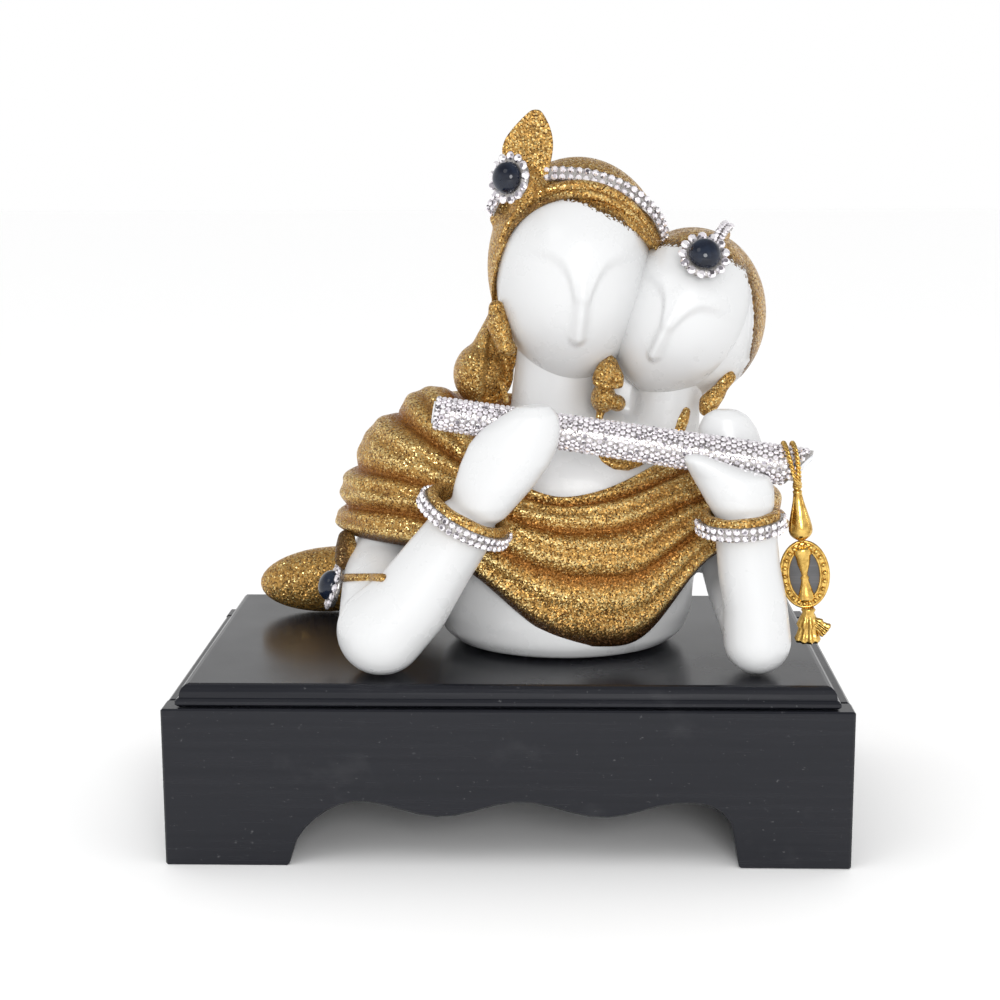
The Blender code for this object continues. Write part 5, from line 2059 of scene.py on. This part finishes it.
    def build_charm(self, frame: Matrix) -> None:
        """Models the oval ring with its beads, the waisted bar across it and its dark ground.

        Args:
            frame: Its top, looking down.
        """
        middle = frame @ Matrix.Translation((0, 0, self.charm_height / 2 * MM))
        parts = [
            tube_along(self.oval(middle, inset, 90), radius, 10, closed=True)
            for inset, radius in ((0.45, 0.50), (self.charm_rim - 0.35, 0.42))
        ]
        web = tube_along(self.oval(middle, self.bead_inset, 90), 1.15, 8, closed=True)
        self.flatten(web, middle, 0.45)
        parts.append(web)
        turn = middle.to_3x3()
        frames = [
            Matrix.Translation(spot + turn @ Vector((0, 0.62 * MM, 0))) @ turn.to_4x4()
            for spot in self.oval(middle, self.bead_inset, self.beads)
        ]
        let_go()
        bpy.ops.mesh.primitive_uv_sphere_add(segments=14, ring_count=8, radius=self.bead_radius * MM)
        parts.append(stamped("beads", bpy.context.object, frames))
        bpy.ops.mesh.primitive_uv_sphere_add(
            segments=20, ring_count=12, radius=0.95 * MM, location=frame.translation
        )
        parts.append(settle(bpy.context.object))
        reach = self.charm_height / 2 - self.charm_rim * 0.7
        low, high = middle @ (Vector((0, 0, -reach)) * MM), middle @ (Vector((0, 0, reach)) * MM)
        span = (high - low).length / MM
        profile = [(span * share, radius) for share, radius in self.bar_profile]
        bar = turned(profile, facing(low, high - low, (0, 1, 0)), 28)
        self.flatten(bar, middle, 0.55)
        parts.append(bar)
        self.dress(join(parts, "tassel_oval"), "tassel_oval", PlatedGold(), Slot.GOLD, ("tassel_charm",))
        self.build_ground(middle)

    def oval(self, middle: Matrix, inset: float, count: int) -> list[Vector]:
        """Places points round the charm's rim.

        Args:
            middle: The charm's middle.
            inset: How far within its edge they lie, in millimetres.
            count: How many there are.

        Returns:
            The points, in metres.
        """
        width, height = self.charm_width / 2 - inset, self.charm_height / 2 - inset
        turns = [math.tau * k / count for k in range(count)]
        return [middle @ (Vector((width * math.cos(a), 0, height * math.sin(a))) * MM) for a in turns]

    @staticmethod
    def flatten(obj: Form, middle: Matrix, share: float) -> None:
        """Thins a form from front to back.

        Args:
            obj: The form.
            middle: What it is thinned towards.
            share: How much of its depth it keeps.
        """
        points = points_of(obj)
        points[:, 1] = middle.translation.y + (points[:, 1] - middle.translation.y) * share
        put_points(obj, points)

    def build_ground(self, middle: Matrix) -> None:
        """Models the dark ground within the charm's rim.

        Args:
            middle: The charm's middle.
        """
        ground = turned(((-0.25, 0.96), (0.0, 1.0), (0.25, 0.96)), Matrix.Identity(4), 64)
        points = points_of(ground) / MM
        inset = self.charm_rim * 0.7
        width, height = self.charm_width / 2 - inset, self.charm_height / 2 - inset
        flat = np.c_[
            points[:, 0] * width, points[:, 2] - 0.2, points[:, 1] * height, np.full(len(points), 1 / MM)
        ]
        put_points(ground, (flat * MM @ np.array(middle).T)[:, :3])
        right_way_out(ground)
        enamel = PaintedBoard("dark enamel", (0.10, 0.10, 0.105), (0.13, 0.13, 0.135))
        self.dress(ground, "tassel_ground", enamel, Slot.GOLD, ("tassel_charm",))

    def bell(self, place: Matrix, scale: float) -> Form:
        """Turns one bell of the cap and flutes it.

        Args:
            place: Its top, looking down.
            scale: Its size, as a share of the cap's.

        Returns:
            The bell.
        """
        h = self.cap_length * scale
        form = turned([(h * share, radius * scale) for share, radius in self.cap_profile], place, 72)
        points = np.c_[points_of(form), np.ones(len(form.data.vertices))] @ np.array(place.inverted()).T
        angle = np.arctan2(points[:, 1], points[:, 0])
        fluted = self.cap_flute_depth * np.cos(self.cap_flutes * angle)
        points[:, :2] *= (1 + fluted * smooth_step(0.1, 0.4, points[:, 2] / (h * MM)))[:, None]
        put_points(form, (points @ np.array(place).T)[:, :3])
        return form

    def build_cap(self, frame: Matrix) -> None:
        """Models the filigree cap: a fluted bell with a smaller one set across it.

        Args:
            frame: Its top, looking down.
        """
        across = facing(
            frame @ (Vector((0.2, 0.4, self.cap_length * 0.30)) * MM),
            frame.to_3x3() @ Vector((0.80, 0.1, 0.62)), (0, 1, 0),
        )
        bells = join([self.bell(frame, 1.0), self.bell(across, self.side_bell)], "tassel_bell")
        self.dress(bells, "tassel_bell", PlatedGold(), Slot.GOLD, ("tassel_cap",))


@dataclass
class Plinth(SubAssembly):
    """The box plinth: its boards keep their solids' shape and get their paint."""

    boards: Sequence[str] = ("plinth_front", "plinth_back", "plinth_left", "plinth_right", "plinth_top")

    def build(self) -> None:
        """Paints each board."""
        for name in self.boards:
            board = bpy.data.objects[name].data
            board.materials.clear()
            board.materials.append(PaintedBoard().material())
            LOG.info("%s painted", name)


@dataclass(frozen=True)
class SoftBox:
    """A round soft light that looks at the statue. Its place and size are in metres."""

    name: str
    place: Point
    size: float
    power: float


@dataclass
class Studio:
    """A pale floor, soft light and the camera."""

    lamps: Sequence[SoftBox] = (
        SoftBox("key", (-0.55, -0.60, 0.95), 0.50, 0.8), SoftBox("front", (0.14, -0.95, 0.36), 0.40, 3.3),
    )
    lit_height: float = 0.11
    pitch: float = 10.6
    yaw: float = -1.65
    roll: float = -0.21
    lens: float = 66.96
    sensor: float = 36.0
    room_light: float = 1.06
    mirrored_light: tuple[float, float] = (1.0, 0.34)
    mirrored_heights: tuple[float, float] = (0.18, 0.72)

    def build(self) -> None:
        """Sets the floor, the lights and the camera."""
        self.build_floor()
        self.build_lights()
        self.build_camera()

    def build_floor(self) -> None:
        """Lays the pale floor."""
        let_go()
        bpy.ops.mesh.primitive_plane_add(size=12.0, location=(0, 0, 0))
        floor = bpy.context.object
        floor.name = "studio_floor"
        floor.data.materials.append(StudioFloor().material())

    def build_lights(self) -> None:
        """Lights the statue from a white room and two soft boxes."""
        world = bpy.data.worlds.new("studio")
        world.use_nodes = True
        self.draw_sky(NodeSheet(world.node_tree), world.node_tree.nodes["Background"])
        bpy.context.scene.world = world
        bpy.context.scene.view_settings.view_transform = "Standard"
        for box in self.lamps:
            light = bpy.data.lights.new(box.name, "AREA")
            light.energy = box.power
            light.size = box.size
            light.shape = "DISK"
            lamp = bpy.data.objects.new(box.name, light)
            bpy.context.scene.collection.objects.link(lamp)
            aim = Vector((0, 0, self.lit_height)) - Vector(box.place)
            turn = aim.to_track_quat("-Z", "Y").to_matrix().to_4x4()
            lamp.matrix_world = Matrix.Translation(box.place) @ turn

    def draw_sky(self, sheet: NodeSheet, background: bpy.types.Node) -> None:
        """Draws the white room, which reflections see darker overhead.

        Args:
            sheet: The world's node sheet.
            background: The world's background.
        """
        ways = sheet.add("LightPath")
        height = sheet.add("SeparateXYZ")
        sheet.join(sheet.add("TexCoord").outputs["Generated"], height.inputs[0])
        mirrored = sheet.span(height.outputs["Z"], *self.mirrored_heights, *self.mirrored_light)
        lit = sheet.math("MULTIPLY", ways.outputs["Is Diffuse Ray"], self.room_light)
        seen = ways.outputs["Is Camera Ray"]
        glossy = sheet.math("MULTIPLY", ways.outputs["Is Glossy Ray"], mirrored)
        sheet.join(sheet.math("ADD", sheet.math("ADD", lit, seen), glossy), background.inputs[1])
        background.inputs[0].default_value = (1, 1, 1, 1)

    def build_camera(self) -> None:
        """Sets the camera where the photograph was taken from."""
        pitch, yaw, roll = (math.radians(a) for a in (self.pitch, self.yaw, self.roll))
        ahead = Vector((math.sin(yaw) * math.cos(pitch), math.cos(yaw) * math.cos(pitch), -math.sin(pitch)))
        level = Vector((math.cos(yaw), -math.sin(yaw), 0))
        upright = level.cross(ahead)
        right = level * math.cos(roll) + upright * math.sin(roll)
        up = upright * math.cos(roll) - level * math.sin(roll)
        data = bpy.data.cameras.new("camera")
        data.lens = self.lens
        data.sensor_width = self.sensor
        camera = bpy.data.objects.new("camera", data)
        bpy.context.scene.collection.objects.link(camera)
        camera.matrix_world = Matrix((right, up, -ahead)).transposed().to_4x4()
        camera.matrix_world.translation = on_figure(*EYE)
        bpy.context.scene.camera = camera


def main() -> None:
    """Builds the statue's looks in order."""
    logging.basicConfig(level=logging.INFO, format="%(message)s")
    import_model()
    assemblies: list[SubAssembly] = [
        Plinth(),
        Torso(),
        Head("larger_head", (18.8, -2.5, 110.2), (22.8, 24.5, 31.4), 4.0, 6.0, LARGER_HAIRLINE, 104.0),
        Head("smaller_head", (50.6, -2.0, 99.2), (19.8, 22.0, 25.8), 26.0, -10.0, SMALLER_HAIRLINE, 78.0),
        Hair(),
        Trinkets(),
        Shawl(),
        StoneStrips(),
        Brooches(),
        Flute(),
        Tassel(),
    ]
    for assembly in assemblies:
        assembly.build()
    Studio().build()


if __name__ == "__main__":
    main()
